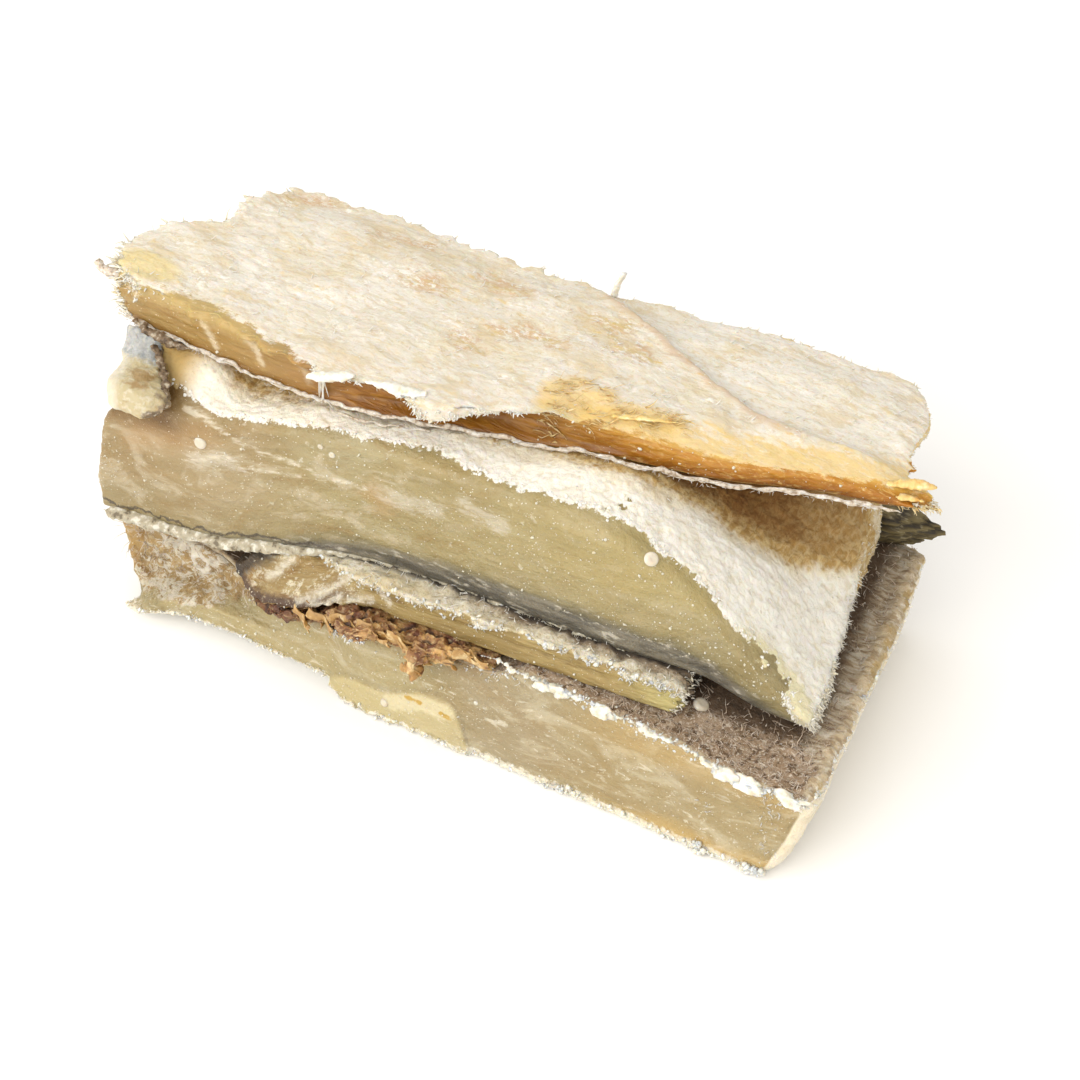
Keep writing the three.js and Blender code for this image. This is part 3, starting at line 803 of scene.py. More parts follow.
def strip_material():
    """Brown wax at the left, streaky olive at the right, cream on top, and painted shade along its lower edge
    at the left and under the loin.
    """
    paint = Paint("strip", "height")
    along, share = paint.field("along"), paint.field("share")
    streak = paint.grain(0.9, (10, 2, 1), seed=91, detail=5, rough=0.65)
    rough = paint.grain(1.0, seed=93, detail=5, rough=0.7)
    patches = paint.grain(6, (2, 1, 1), seed=95, detail=4)
    scabs = paint.grain(4, (2.4, 1, 1), seed=96, detail=4, twist=1)
    crusty = paint.both(paint.ease(rough, 0.46, 0.56), paint.ease(scabs, 0.46, 0.56, 0, 0.9))
    left = paint.layers((160, 134, 82), (patches, 0.46, 0.62, 0.7, (196, 178, 132)),
                        (patches, 0.46, 0.34, 0.8, (138, 104, 50)),
                        (crusty, (230, 220, 194)),
                        (paint.jitter(along, patches, 14), -46, -54, 0.8, (184, 142, 72)),
                        (paint.jitter(share, streak, 0.5), 0.34, 0.1, 0.7, (166, 122, 58)),
                        # Painted shade along the lower edge.
                        (paint.near("low", rough, 2.4), 3.0, 1.3, 0.92, (78, 54, 42)))
    right = paint.layers((168, 144, 88), (streak, 0.5, 0.7, 1, (190, 168, 112)),
                         (streak, 0.48, 0.28, 1, (126, 100, 54)),
                         (patches, 0.5, 0.66, 0.7, (146, 122, 68)),
                         (along, 30, 43, 0.75, (206, 194, 130)))
    face = paint.blend(paint.ease(paint.jitter(along, patches, 30), -34, -20), left, right)
    face = paint.layers(face,
                        (paint.near("wisp", rough, 4.0), 1.3, -0.4, 0.85, (236, 228, 208)),
                        (paint.both(paint.ease(rough, 0.56, 0.68, 0, 0.7), paint.ease(along, -24, -40)),
                         (226, 214, 182)),
                        (paint.both(paint.ease(streak, 0.46, 0.3, 0, 0.6), paint.ease(along, -24, -40)),
                         (130, 92, 40)),
                        (paint.cells(0.8, seed=92), 0.16, 0.06, 0.7, (232, 222, 196)))
    cream = paint.layers((232, 222, 196), (rough, 0.5, 0.64, 1, (248, 243, 230)),
                         (rough, 0.46, 0.34, 1, (190, 170, 134)),
                         (patches, 0.5, 0.64, 0.65, (216, 198, 154)))
    back = paint.both(paint.ease(paint.near("depth", patches, 5), 1.6, 4.5), paint.ease(along, -16, 12))
    brown = paint.blend(paint.ease(rough, 0.44, 0.6), (116, 92, 66), (176, 154, 126))
    cream = paint.blend(paint.both(back, 0.85), cream, brown)
    mask = paint.ease(paint.near("cream", rough, 3), -0.2, 0.4)
    colour = paint.blend(mask, face, cream)
    # Painted shade on the strip's top under the loin's front.
    gap = paint.near("gap", rough, 1.6)
    colour = paint.blend(paint.ease(gap, -1.3, 0.1, 0, 0.92), colour, (54, 44, 36))
    bump = paint.bump(paint.blend(mask, streak, rough), 0.8)
    return paint.done(colour, paint.ease(mask, 0, 1, 0.4, 0.92), bump, glow=0.25, radius=(2, 1.2, 0.5))


def membrane_place(u, v, w):
    x = mix(-47.0, 8 - 4 * v, u)
    front = membrane_front(x) + 1.2 * (np.sin(x / 2.7) - 0.7 * w)
    y = mix(front, -16.0, v)
    top = strip_bottom(x) - GAP - 0.6 * (1 + np.sin(x / 3.1 + y / 4))
    return x, y, mix(base_top(x, y) + GAP, top, w)


def make_membrane():
    """The membrane: folds crumpled at the front, between the base and the belly strip."""
    membrane = Portion(cells=(180, 30, 22), place=membrane_place, size=(50, 13, 3.2), radius=0.6,
                       dense=(1, 1.5, 1))
    p = membrane.points
    x, y, z = p.T
    depth = y - membrane_front(x)
    bend = np.stack([x + 1.6 * z, y, z - 0.25 * x], 1)
    fold = 1 - np.abs(grain(bend, (6, 3, 1.1), 3, seed=101)) * 1.6
    clump = 2.0 * hill(np.hypot((x + 6.5) / 2.6, (z - 20) / 3.2), 0, 1)
    swell = curve([(-47, -1.4), (-38, -1.0), (-28, -0.2), (-12, 0.2), (-2, 0.2), (8, -0.4)])(x)
    membrane.push((1.5 * (fold - 0.6) + 0.35 * grain(p, 0.9, 2, seed=102) + swell + clump)
                  * fall(depth, 2, 8))
    membrane.fields = {"fold": fold, "along": x}
    return membrane


def membrane_material():
    """Red-brown and amber in patches, with painted shade between the folds and painted highlights on their
    ridges.
    """
    paint = Paint("membrane")
    patches = paint.grain(3.0, seed=111, detail=4)
    fine = paint.grain(0.7, (2, 1, 1), seed=112, detail=4)
    colour = paint.layers(
        (150, 106, 62),
        (patches, 0.48, 0.62, 1, (214, 170, 106)),
        (patches, 0.46, 0.36, 1, (112, 66, 42)),
        (fine, 0.55, 0.7, 0.8, (236, 206, 158)),
        (fine, 0.44, 0.3, 0.7, (92, 52, 28)),
        (paint.near("along", fine, 16), -14, -30, 0.85, (104, 62, 40)),
        # Painted shade between the folds, and painted highlights on their ridges.
        (paint.near("fold", fine, 0.6), 0.35, 0.0, 0.85, (58, 34, 20)),
        (paint.both(paint.ease(paint.field("fold"), 0.75, 1.0), 0.5), (226, 190, 136)))
    return paint.done(colour, 0.5, paint.bump(fine, 0.5), glow=0.2, radius=(2, 0.8, 0.3))


def rear_place(u, v, w):
    x = mix(13.0, 61.5 - 8 * (1 - v + np.abs(w - 0.8)), u)
    y = mix(41.6, 48.5 + ripple(x, 0, 0.6), v)
    low = base_top(x, y) + GAP
    return x, y, mix(low, low + (8.2 + 0.8 * np.sin(x / 6)) * (0.3 + 0.7 * rise(u, 0, 0.35)), w)


def make_rear():
    """The rear strip: thin layers that end in a point at the right."""
    rear = Portion(cells=(100, 14, 22), place=rear_place, size=(45, 7, 8), radius=0.8)
    p = rear.points
    layers = np.sin(p[:, 2] * 4.2 + 1.6 * grain(p, 6, 2, seed=121))
    p[:, 0] += 1.2 * rise(rear.u, 0.9, 1) * grain(p * [0, 1, 1], (1, 1, 0.8), 2, seed=123)
    rear.push(0.35 * layers + 0.35 * grain(p, (6, 1.4, 1.0), 3, seed=122))
    rear.fields = {"layers": layers}
    return rear


def rear_material():
    """Dark olive layers with darker and paler streaks."""
    paint = Paint("rear")
    streak = paint.grain(0.7, (14, 2, 1), seed=131, detail=4)
    bands = paint.near("layers", streak, 1.6)
    colour = paint.layers((80, 68, 38), (bands, 0.0, 1.0, 0.85, (122, 108, 66)),
                          (bands, -0.2, -1.0, 0.85, (40, 33, 22)),
                          (streak, 0.58, 0.74, 0.5, (190, 180, 148)),
                          (streak, 0.45, 0.3, 0.6, (48, 40, 26)))
    return paint.done(colour, 0.6, paint.bump(streak, 0.5), glow=0.05)


# ---------------------------------------------------------------- flap

def flap_place(u, v, w):
    roundness = np.sin(np.pi * mix(0.12, 0.88, u))
    depth = 0.5 * flap_thickness(w) * roundness * (2 * v - 1)
    return mix(flap_left(w), flap_right(w), u), flap_forward(w) + 0.7 * depth, flap_height(w) - depth


def make_flap():
    """The skin flap: a tongue that hangs from under the top portion and ends in a lump."""
    flap = Portion(cells=(34, 12, 70), place=flap_place, size=(10, 3.5, 18), radius=1.2)
    p = flap.points
    ruffle = rise(flap.u, 0.8, 1) * 0.6 * grain(p, 1.6, 2, seed=143)
    crease = 0.5 * grain(p, (1.8, 6, 8), 2, seed=144) * rise(flap.w, 0.45, 0.6)
    flap.push(0.25 * grain(p, 4, 2, seed=141) + 0.1 * grain(p, 1.2, 2, seed=142) + crease + ruffle)
    flap.fields = {"up": flap.w, "across": flap.u,
                   "blotch": np.hypot((flap.u - 0.55) * 7, (flap.w - 0.42) * 13)}
    return flap


def flap_material():
    """Cream flesh at the lump, pale blue-grey skin above it, and a brown right edge."""
    paint = Paint("flap")
    up, sideways = paint.field("up"), paint.field("across")
    blotch = paint.grain(2.4, seed=151, detail=5)
    rough = paint.grain(1.0, seed=152, detail=4)
    flesh = paint.layers((196, 182, 144), (rough, 0.5, 0.66, 0.7, (214, 206, 182)),
                         (blotch, 0.46, 0.34, 0.6, (180, 156, 112)),
                         (paint.near("blotch", blotch, 6), 2.0, 0.6, 0.7, (160, 126, 72)),
                         (paint.jitter(sideways, rough, 0.3), 0.36, 0.16, 0.7, (230, 224, 206)))
    skin = paint.layers((192, 193, 190),
                        (paint.grain(2.4, (1, 1, 3), seed=153), 0.46, 0.6, 0.8, (166, 171, 173)),
                        (blotch, 0.56, 0.7, 1, (214, 213, 208)))
    colour = paint.blend(paint.ease(paint.jitter(up, rough, 0.25), 0.58, 0.7), flesh, skin)
    edge = paint.jitter(sideways, blotch, 0.5)
    colour = paint.layers(colour, (edge, 0.9, 1.0, 0.9, (112, 92, 70)),
                          (paint.both(paint.ease(edge, 0.96, 1.06), paint.ease(rough, 0.5, 0.6)),
                           (206, 196, 178)))
    return paint.done(colour, 0.4, paint.bump(rough, 0.3), glow=0.45, radius=(3, 2, 1))


# ---------------------------------------------------------------- top portion

def top_crust_foot(x):
    """How far down the face the crust comes, from 0 at the skin to 1 at the top."""
    return curve([(-92, 0.72), (-80, 0.8), (-66, 0.88), (-56, 0.9), (-44, 0.88), (-37, 0.82), (-33, 0.84),
                  (-26, 0.93), (-18, 0.93), (-16.4, 0.78), (-14.5, 0.52), (-11, 0.5), (-6, 0.72), (0, 0.9),
                  (6, 0.97), (14, 0.97), (72, 0.97)])(x)


def top_place(u, v, w):
    """The crust overhangs a recess in the front, whose depth changes along x."""
    left = top_left_end(v) + 2.0 * (1 - w) * (1 - v)
    right = top_right_end(v) - 5 * (1 - w) * (1 - v)
    x = mix(left, right, u)
    foot = top_crust_foot(x)
    lip = rise(w, foot - 0.08, foot + 0.1)
    bank = rise(x, 0, 14)
    out = mix(lip, w * w, rise(x, 22, 40))
    recess = curve([(-92, 0), (-40, 0.2), (-34, 1.4), (-28, 2.6), (-18, 3.2), (-6, 3.6), (4, 2.6), (16, 1.0),
                    (34, 0.5), (60, 0)])(x)
    inside = rise(w, 0.03, 0.22) * fall(w, foot - 0.1, foot + 0.04)
    crust = mix(top_front_crust(x), top_front_skin(x) + 0.4, bank)
    front = mix(top_front_skin(x), crust, out) + recess * inside
    y = mix(front, top_back(x) + ripple(x, 9 * w, 0.7), v)
    rolled = 2.4 * bank * fall(y - crust, 0, 8) * w
    return x, y, mix(top_bottom(x, y), top_top(x, y) - rolled, w)


def top_size(u, v, w):
    x = top_place(u, v, w)[0]
    return 155, top_back(x) - top_front_skin(x), top_thickness(x)


TOP_WISPS = [[(-63, 66), (-61.6, 64), (-60.3, 61.8)], [(-52.6, 66.2), (-50.6, 64.4), (-49.4, 62)],
             [(-42.6, 66), (-40, 64), (-39, 61.6)]]
TOP_TAN = [[(-75, 27), (-69, 32)], [(-39, 15), (-33, 16)], [(-18, 2), (-16, 8), (-10, 12), (-3, 12)],
           [(-3, 21), (3, 23), (12, 17)], [(-5, 37), (0, 38)], [(-52, 24), (-44, 27)], [(-28, 24), (-20, 22)]]
TOP_FAN = [[(4, -4), (3, 0), (6, 3)], [(5, -3), (9, 1), (12, 3)], [(11, -1), (18, 2), (25, 4.6)]]


def make_top():
    """The top portion: a smooth amber face, and a fibrous crust with a groove, patches and ragged ends."""
    top = Portion(cells=(290, 112, 22), place=top_place, size=top_size,
                  radius=lambda u, v, w: mix(0.8, 2.4, rise(u, 0.55, 0.8)), dense=(1, 1.16, 1))
    p = top.points.copy()
    x, y, z = p.T
    end_left, end_right = fall(top.u, 0, 0.03), rise(top.u, 0.97, 1)
    ragged = 1.7 - 1.3 * rise(top.u, 0.9, 1) * rise(top.v, 0.3, 0.5)
    top.points[:, 0] += (end_right - end_left) * ragged * grain(p * [0, 1, 1], (1, 1.8, 1.6), 3, seed=161)
    wavy = 1.2 - 0.8 * rise(top.u, 0.8, 0.92)
    top.points[:, 1] += rise(top.v, 0.97, 1) * wavy * grain(p * [1, 0, 1], (3, 1, 2.2), 3, seed=162)
    lobed = (top.front + top.top * fall(top.v, 0, 0.05)) * rise(top.w, 0.5, 0.9) * fall(x, 0, 14)
    top.points[:, 1] -= lobed * 1.2 * grain(p * [1, 0, 0], (4.5, 1, 1), 3, seed=163)
    on_right = rise(x, 0, 12)
    depth = y - mix(top_front_crust(x), top_front_skin(x) + 0.4, on_right)
    climb = z - top_bottom(x, top_front_skin(x)) + np.maximum(depth, 0) * top.top
    crust = (top.w - top_crust_foot(x)) * 6 * top.front + 3 * (1 - top.front)
    bank = curve([(0, 4), (8, 6.5), (16, 7.2), (28, 6.4), (44, 5.0), (58, 4.8), (66, 6.5)])(x)
    reach = curve([(-92, 4.5), (-80, 7.8), (-66, 11), (-52, 11), (-44, 10.4), (-36, 9)])(x)
    crust = mix(crust, (climb - bank) / 1.6, on_right * (top.v < 0.4))
    crust = mix(crust, (climb - reach) / 1.6, fall(x, -38, -33) * (top.v < 0.4))
    crust = crust + 0.9 * grain(p, (4, 2, 2), 3, seed=164)
    far = rise(y - top_groove(x), -0.5, 1.5) * rise(x, -26, -10)
    fibres = grain(p, (9, 2.2, 2), 3, seed=165)
    lumps = grain(p, (9, 7, 7), 2, seed=166)
    flakes = np.abs(grain(p, (3.6, 2.4, 2.4), 3, seed=170, gain=0.6))
    patch = 0.7 - 0.17 * far_from(x, y, TOP_TAN) + 0.5 * grain(p * [1, 1, 0], (9, 5, 1), 3, seed=167)
    patch = np.maximum(patch, grain(p * [1, 1, 0], (13, 6, 1), 3, seed=172) - 0.7)
    groove = hill(y - top_groove(x) + 0.8 + 1.5 * grain(p * [1, 0, 0], (9, 1, 1), 3, seed=171), 0, 2.4)
    groove = groove * rise(x, -16, 0) * fall(x, 38, 54) * top.top
    relief = 0.16 * fibres + 0.35 * lumps + 0.32 * flakes + 0.12 * grain(p, 1.1, 1, seed=168)
    relief += -0.2 * rise(patch, 0, 0.4) + 0.5 * groove - 1.1 * far * fall(y - top_groove(x), 0, 2.5)
    amber = 0.25 * grain(p, (12, 2, 1.4), 3, seed=169)
    top.push(mix(amber, relief * (0.4 + 0.6 * top.top), rise(crust, -0.5, 0.8)) * (1 - top.bottom))
    corner = fall(np.hypot((x + 85) / 15, (y + 11) / 6), 0.4, 1.2)
    top.fields = {
        "crust": crust,
        "patch": mix(patch, -0.6, 0.3 * far),
        "groove": groove,
        "climb": climb,
        "wisp": far_from(x, z, TOP_WISPS),
        "fan": far_from(x, y, TOP_FAN) + FAR * (1 - np.maximum(top.top, top.front)),
        "far": far,
        "along": x,
        "bottom": top.bottom,
        "corner": corner,
        "bank": fall(climb, 8, 17) * on_right,
        # The share of the recess's painted shade along x.
        "deep": curve([(-92, 0.0), (-50, 0.2), (-38, 0.6), (-30, 1), (-2, 1), (10, 0.7), (26, 0.2),
                       (60, 0)])(x),
    }
    return top


def top_material():
    """White crust with tan and yellow marks over a face that goes from amber to orange."""
    paint = Paint("top")
    fibre = paint.grain(0.6, (5, 1, 1), seed=171, detail=5, rough=0.65, twist=0.6)
    streak = paint.grain(1.5, (5, 1, 1), seed=172, detail=5, rough=0.62, twist=0.7)
    rough = paint.grain(1.2, (1.3, 1, 1), seed=173, detail=7, rough=0.78)
    climb, along = paint.field("climb"), paint.field("along")
    relief = paint.jitter(rough, fibre, 0.6)
    crust = paint.layers(
        (241, 233, 217),
        (paint.grain(12, seed=174, detail=4), 0.46, 0.62, 0.6, (250, 244, 234)),
        (paint.grain(9, (1.6, 1, 1), seed=176, detail=4), 0.5, 0.66, 0.6, (243, 232, 204)),
        (streak, 0.5, 0.68, 0.3, (238, 224, 196)),
        # The far muscle is whiter: partly its own colour, partly painted light where it faces away from the
        # lamps.
        (paint.field("far"), 0, 1, 0.6, (253, 248, 237)),
        # Painted shade, tan in the hollows of the relief, and painted highlights, whiter than white on its
        # bumps.
        (relief, 0.49, 0.35, 0.65, (228, 206, 166)),
        (relief, 0.56, 0.7, 0.85, (257, 254, 246)))
    frost = paint.grain(0.8, (2, 1, 1), seed=178, detail=4, rough=0.7)
    patch = paint.jitter(paint.near("patch", rough, 3.2), fibre, 1.8)
    tan = paint.blend(paint.ease(streak, 0.42, 0.58), (224, 188, 148), (220, 194, 140))
    speckled = paint.both(paint.ease(patch, -0.2, 0.8), paint.ease(frost, 0.6, 0.46, 0.15, 0.9))
    crust = paint.blend(speckled, crust, tan)
    frosty = paint.grain(5, (2, 1, 1), seed=179, detail=5, rough=0.7, twist=0.6)
    crust = paint.layers(crust, (frosty, 0.52, 0.62, 0.6, (229, 210, 172)),
                         (paint.both(paint.ease(frosty, 0.5, 0.4), paint.ease(frost, 0.48, 0.6, 0, 0.7)),
                          (262, 258, 250)))
    crust = paint.layers(
        crust,
        (paint.near("groove", relief, 1.8), 0.2, 1.2, 0.65, (220, 186, 150)),
        (paint.near("corner", rough, 1.0), 0.3, 0.9, 0.7, (238, 216, 146)),
        (paint.jitter(paint.near("bank", relief, 2.2), streak, 2.4), 0.1, 1.0, 0.75, (240, 207, 128)),
        (paint.jitter(paint.near("fan", streak, 4), fibre, 2), 3.4, 0.6, 0.7, (250, 213, 126)))
    amber = paint.layers((166, 134, 74),
                         (streak, 0.5, 0.66, 0.5, (184, 158, 100)),
                         (streak, 0.46, 0.3, 0.5, (154, 118, 60)),
                         (rough, 0.58, 0.7, 0.6, (226, 210, 168)),
                         (paint.jitter(climb, rough, 3), 3.0, 0.4, 0.75, (148, 106, 48)),
                         (paint.near("wisp", rough, 3.0), 1.2, 0.0, 0.7, (236, 224, 194)),
                         (paint.jitter(climb, rough, 3), 5.5, 8.5, 0.7, (206, 182, 118)))
    # Painted shade: the face in the recess under the crust is painted dark golden brown.
    recess = paint.layers((146, 94, 22), (streak, 0.45, 0.65, 1, (178, 124, 44)),
                          (streak, 0.42, 0.25, 0.8, (100, 60, 10)),
                          (rough, 0.6, 0.7, 0.4, (206, 170, 110)))
    run = paint.jitter(climb, streak, 4)
    orange = paint.layers((134, 78, 4), (run, 0.8, 2.6, 1, (166, 106, 8)),
                          (run, 2.4, 4.4, 1, (192, 134, 26)),
                          (run, 4.0, 6.6, 1, (218, 174, 80)),
                          (fibre, 0.52, 0.68, 0.5, (236, 206, 132)),
                          (fibre, 0.46, 0.3, 0.3, (176, 114, 20)))
    amber = paint.blend(paint.ease(paint.cells(1.0, (1.5, 1, 1), seed=177), 0.17, 0.06, 0, 0.7), amber,
                        (242, 226, 190))
    face = paint.blend(paint.ease(paint.jitter(along, rough, 8), 2, 16), amber, orange)
    face = paint.blend(paint.field("deep"), face, recess)
    mask = paint.ease(paint.near("crust", relief, 4.2), -0.4, 0.6)
    colour = paint.blend(mask, face, crust)
    # Painted shade: the underside, seen in the gap over the loin, is painted dark golden brown.
    below = paint.blend(rough, (150, 112, 46), (190, 152, 86))
    colour = paint.blend(paint.field("bottom"), colour, below)
    bump = paint.bump(paint.blend(mask, streak, relief), 0.5)
    return paint.done(colour, paint.ease(mask, 0, 1, 0.36, 0.95), bump, glow=0.45, radius=(3, 1.8, 0.9))


# ---------------------------------------------------------------- small things

# How much of a strand's width is gone at its tip.
TAPER = 0.75


def unit(vectors):
    """The same directions with length 1."""
    return vectors / np.maximum(np.linalg.norm(vectors, axis=-1, keepdims=True), 1e-12)


def strands(roots, directions, lengths, widths, curl=0.5, steps=4, sides=3, flat=1.0):
    """Curling fibres, or flakes where flat is small, that grow from roots and taper to their tips."""
    n = len(roots)
    directions = unit(np.asarray(directions, float))
    side = unit(np.cross(directions, rng.normal(size=(n, 3))))
    other = np.cross(directions, side)
    t = np.linspace(0, 1, steps + 1)[None, :, None]
    bow = curl * rng.normal(size=(n, 1, 1))
    wave = curl * 0.35 * rng.normal(size=(n, 1, 1))
    along = np.broadcast_to(lengths, n)[:, None, None]
    path = roots[:, None] + along * (directions[:, None] * t + side[:, None] * bow * t ** 2
                                     + other[:, None] * wave * np.sin(np.pi * 1.5 * t))
    radii = np.broadcast_to(widths, n)[:, None] * (1 - TAPER * t[..., 0] ** 1.5)
    turn = np.arange(sides) * 2 * np.pi / sides
    ring = side[:, None] * np.cos(turn)[None, :, None] + flat * other[:, None] * np.sin(turn)[None, :, None]
    points = path[:, :, None] + radii[:, :, None, None] * ring[:, None]
    ids = np.arange(n * (steps + 1) * sides).reshape(n, steps + 1, sides)
    after = np.roll(ids, -1, axis=2)
    walls = np.stack([ids[:, :-1], after[:, :-1], after[:, 1:], ids[:, 1:]], -1).reshape(-1, 4)
    return points.reshape(-1, 3), walls.tolist() + ids[:, 0, ::-1].tolist() + ids[:, -1].tolist()


def ball(levels):
    """The points and triangles of a round ball of radius 1."""
    mesh = bmesh.new()
    bmesh.ops.create_icosphere(mesh, subdivisions=levels, radius=1)
    points = np.array([v.co for v in mesh.verts])
    faces = np.array([[v.index for v in f.verts] for f in mesh.faces])
    mesh.free()
    return points, faces


def grains(centres, sizes):
    """Small lumps, squashed and uneven, one at each centre."""
    base, faces = ball(1)
    n = len(centres)
    first = unit(rng.normal(size=(n, 3)))
    second = unit(np.cross(first, rng.normal(size=(n, 3))))
    axes = np.stack([first, second, np.cross(first, second)], 1)
    squashed = 1 + 0.5 * rng.uniform(-1, 1, (n, 1, 3))
    uneven = 1 + 0.3 * rng.uniform(-1, 1, (n, len(base), 1))
    local = base[None] * (squashed * uneven) * np.broadcast_to(sizes, n)[:, None, None]
    points = centres[:, None] + np.einsum("nij,njk->nik", local, axes)
    ids = faces[None] + (np.arange(n) * len(base))[:, None, None]
    return points.reshape(-1, 3), ids.reshape(-1, 3).tolist()


def band(centre, wide, tall, seed, rough, size, up=(0, 0.3, 1), sides=12):
    """A ragged rod along a path, wide and tall across it at each point, closed at both ends."""
    along = unit(np.gradient(centre, axis=0))
    out = unit(np.cross(along, np.array(up, float)))
    lift = np.cross(out, along)
    turn = np.arange(sides) * 2 * np.pi / sides
    section = (out[:, None] * (np.cos(turn) * wide[:, None])[..., None]
               + lift[:, None] * (np.sin(turn) * tall[:, None])[..., None])
    points = (centre[:, None] + section).reshape(-1, 3)
    points += unit(section.reshape(-1, 3)) * (rough * grain(points, size, 3, seed=seed))[:, None]
    ids = np.arange(len(points)).reshape(-1, sides)
    after = np.roll(ids, -1, axis=1)
    walls = np.stack([ids[:-1], ids[1:], after[1:], after[:-1]], -1).reshape(-1, 4)
    return points, walls.tolist() + [ids[0].tolist(), ids[-1, ::-1].tolist()]


def rope(path, seed, flat, rough=0.3, up=(0, 0.3, 1), steps=60, size=1.2):
    """A ragged rod through a few (x, y, z, radius) points."""
    path = np.array(path, float)
    run = np.concatenate([[0], np.cumsum(np.linalg.norm(np.diff(path[:, :3], axis=0), axis=1))])
    t = np.linspace(0, run[-1], steps)
    x, y, z, radius = (curve(list(zip(run, path[:, k])))(t) for k in range(4))
    return band(np.stack([x, y, z], 1), radius, radius * flat, seed, rough, size, up)


def joined(*meshes):
    """Several (points, faces) as one."""
    points, faces, start = [], [], 0
    for some, these in meshes:
        points.append(some)
        faces += [[start + i for i in f] for f in these]
        start += len(some)
    return np.concatenate(points), faces


def scatter(portion, weight, count, lift):
    """Points and normals at random places of a portion's surface."""
    weight = np.clip(weight, 0, None)
    chosen = rng.choice(len(weight), count, p=weight / weight.sum())
    normals = portion.normals()[chosen]
    loose = rng.normal(size=(count, 3)) * 0.25
    loose -= normals * np.sum(loose * normals, axis=1, keepdims=True)
    return portion.points[chosen] + loose + normals * lift, normals


def tuft(portion, weight, count, heading, spread, length, width, curl=0.4, flat=0.5, lean=0.3):
    """Strands at random places of a portion, led by a heading, chance, and the surface's normal."""
    roots, normals = scatter(portion, weight, count, -0.15)
    directions = np.array(heading, float) + spread * rng.normal(size=(count, 3)) + lean * normals
    lengths, widths = rng.uniform(*length, count), rng.uniform(*width, count)
    return strands(roots, directions, lengths, widths, curl=curl, flat=flat, steps=3)


def crumbs(portion, weight, count, lift, sizes):
    """Grains at random places of a portion."""
    centres, _ = scatter(portion, weight, count, lift)
    return grains(centres, rng.uniform(*sizes, count))


def plain_paint(name, colour, dark, light, size, roughness, glow):
    """A finish of one colour with darker and lighter mottles of a size."""
    paint = Paint(name)
    rough = paint.grain(size, seed=len(name), detail=4)
    mixed = paint.layers(colour, (rough, 0.48, 0.34, 1, dark), (rough, 0.52, 0.66, 1, light))
    return paint.done(mixed, roughness, paint.bump(rough, 0.3), glow=glow)


# ---------------------------------------------------------------- skin edges

def make_top_skin(block):
    """The wavy skin edge along the foot of the top portion's front: one band, a thinner one below it in
    the middle, short hairs, and the curled stub at the left end."""
    x = np.linspace(-84, 66.5, 400)
    line = np.stack([x, 0 * x, 0 * x], 1)
    ends = rise(x, -84, -81) * fall(x, 64, 66.5)
    parts = []
    whole, middle = (0.3, 0.5, -84, 67, 0.36), (-1.2, 0.9, -36, 2, 0.2)
    for k, (drop, forward, start, stop, thick) in enumerate([whole, middle]):
        here = ends * rise(x, start, start + 5) * fall(x, stop - 5, stop)
        y = top_front_skin(x) - forward + 0.5 * grain(line, 8, 3, seed=201 + 7 * k)
        z = top_bottom(x, y + 1) + 0.3 + mix(0.6, drop, here) + 0.6 * grain(line, 4.5, 3, seed=202 + 7 * k)
        wide = (0.26 + 0.14 * grain(line, 3, 2, seed=203 + 7 * k)) * here + 0.03
        tall = (thick + 0.3 * thick * grain(line, 4, 3, seed=204 + 7 * k)) * here + 0.03
        parts.append(band(np.stack([x, y, z], 1), wide, tall, seed=205 + k, rough=0.28, size=(5, 0.9, 0.7),
                          sides=10))
    n = 130
    at = rng.integers(5, len(x) - 5, n)
    roots = np.stack([x[at], top_front_skin(x[at]) - 0.9, top_bottom(x[at], top_front_skin(x[at])) + 0.3], 1)
    heading = np.stack([rng.normal(0, 1.0, n), rng.uniform(-1.0, -0.1, n), rng.uniform(-1.2, 0.2, n)], 1)
    stub = rope([(-85, -12.6, 65.2, 1.1), (-88.2, -13.2, 65.9, 1.1), (-90.6, -13.5, 66.0, 1.1),
                 (-92.4, -13.5, 67.4, 0.8)], 3.3, 0.8, steps=30)
    hairs = strands(roots, heading, rng.uniform(0.3, 1.0, n), rng.uniform(0.06, 0.13, n), steps=3)
    return joined(*parts, stub, hairs)


def make_loin_skin(block):
    """Salt-crusted skin that hangs from the loin's foot, broad at the left and broken and thin further on."""
    x = np.linspace(-82, 30, 330)
    line = np.stack([x, 0 * x, 0 * x], 1)
    broad = fall(x, -46, -22)
    kept = mix(rise(grain(line, 7, 3, seed=216), -0.1, 0.3), 1, fall(x, -30, -14))
    ends = rise(x, -82, -80) * fall(x, 18, 28) * kept
    y = loin_front(x) + 0.4 - 0.8 * broad + 0.45 * grain(line, 7, 3, seed=211)
    z = loin_underside(x) + 0.1 - 0.2 * broad + 0.35 * grain(line, 5, 3, seed=212)
    wide = (0.35 + 1.1 * broad * (0.9 + 0.4 * grain(line, 5, 2, seed=215))) * ends + 0.04
    tall = (0.2 + 0.5 * broad * (0.8 + 0.6 * grain(line, 5, 3, seed=213))) * ends + 0.04
    main = band(np.stack([x, y, z], 1), wide, tall, up=(0, -0.5, 1), seed=214, sides=16, rough=0.4,
                size=(3, 1.1, 0.8))
    n = 330
    at = rng.integers(4, len(x) - 4, n)
    roots = np.stack([x[at], y[at] - wide[at] * 0.7, z[at] - tall[at] * 0.6], 1)
    heading = np.stack([rng.normal(0, 0.8, n), rng.uniform(-1.0, 0.0, n), rng.uniform(-1.0, 0.1, n)], 1)
    hairs = strands(roots, heading, rng.uniform(0.2, 0.6, n), rng.uniform(0.08, 0.2, n), steps=3, flat=0.6)
    return joined(main, hairs)


# ---------------------------------------------------------------- frayed flesh, fibres and crust

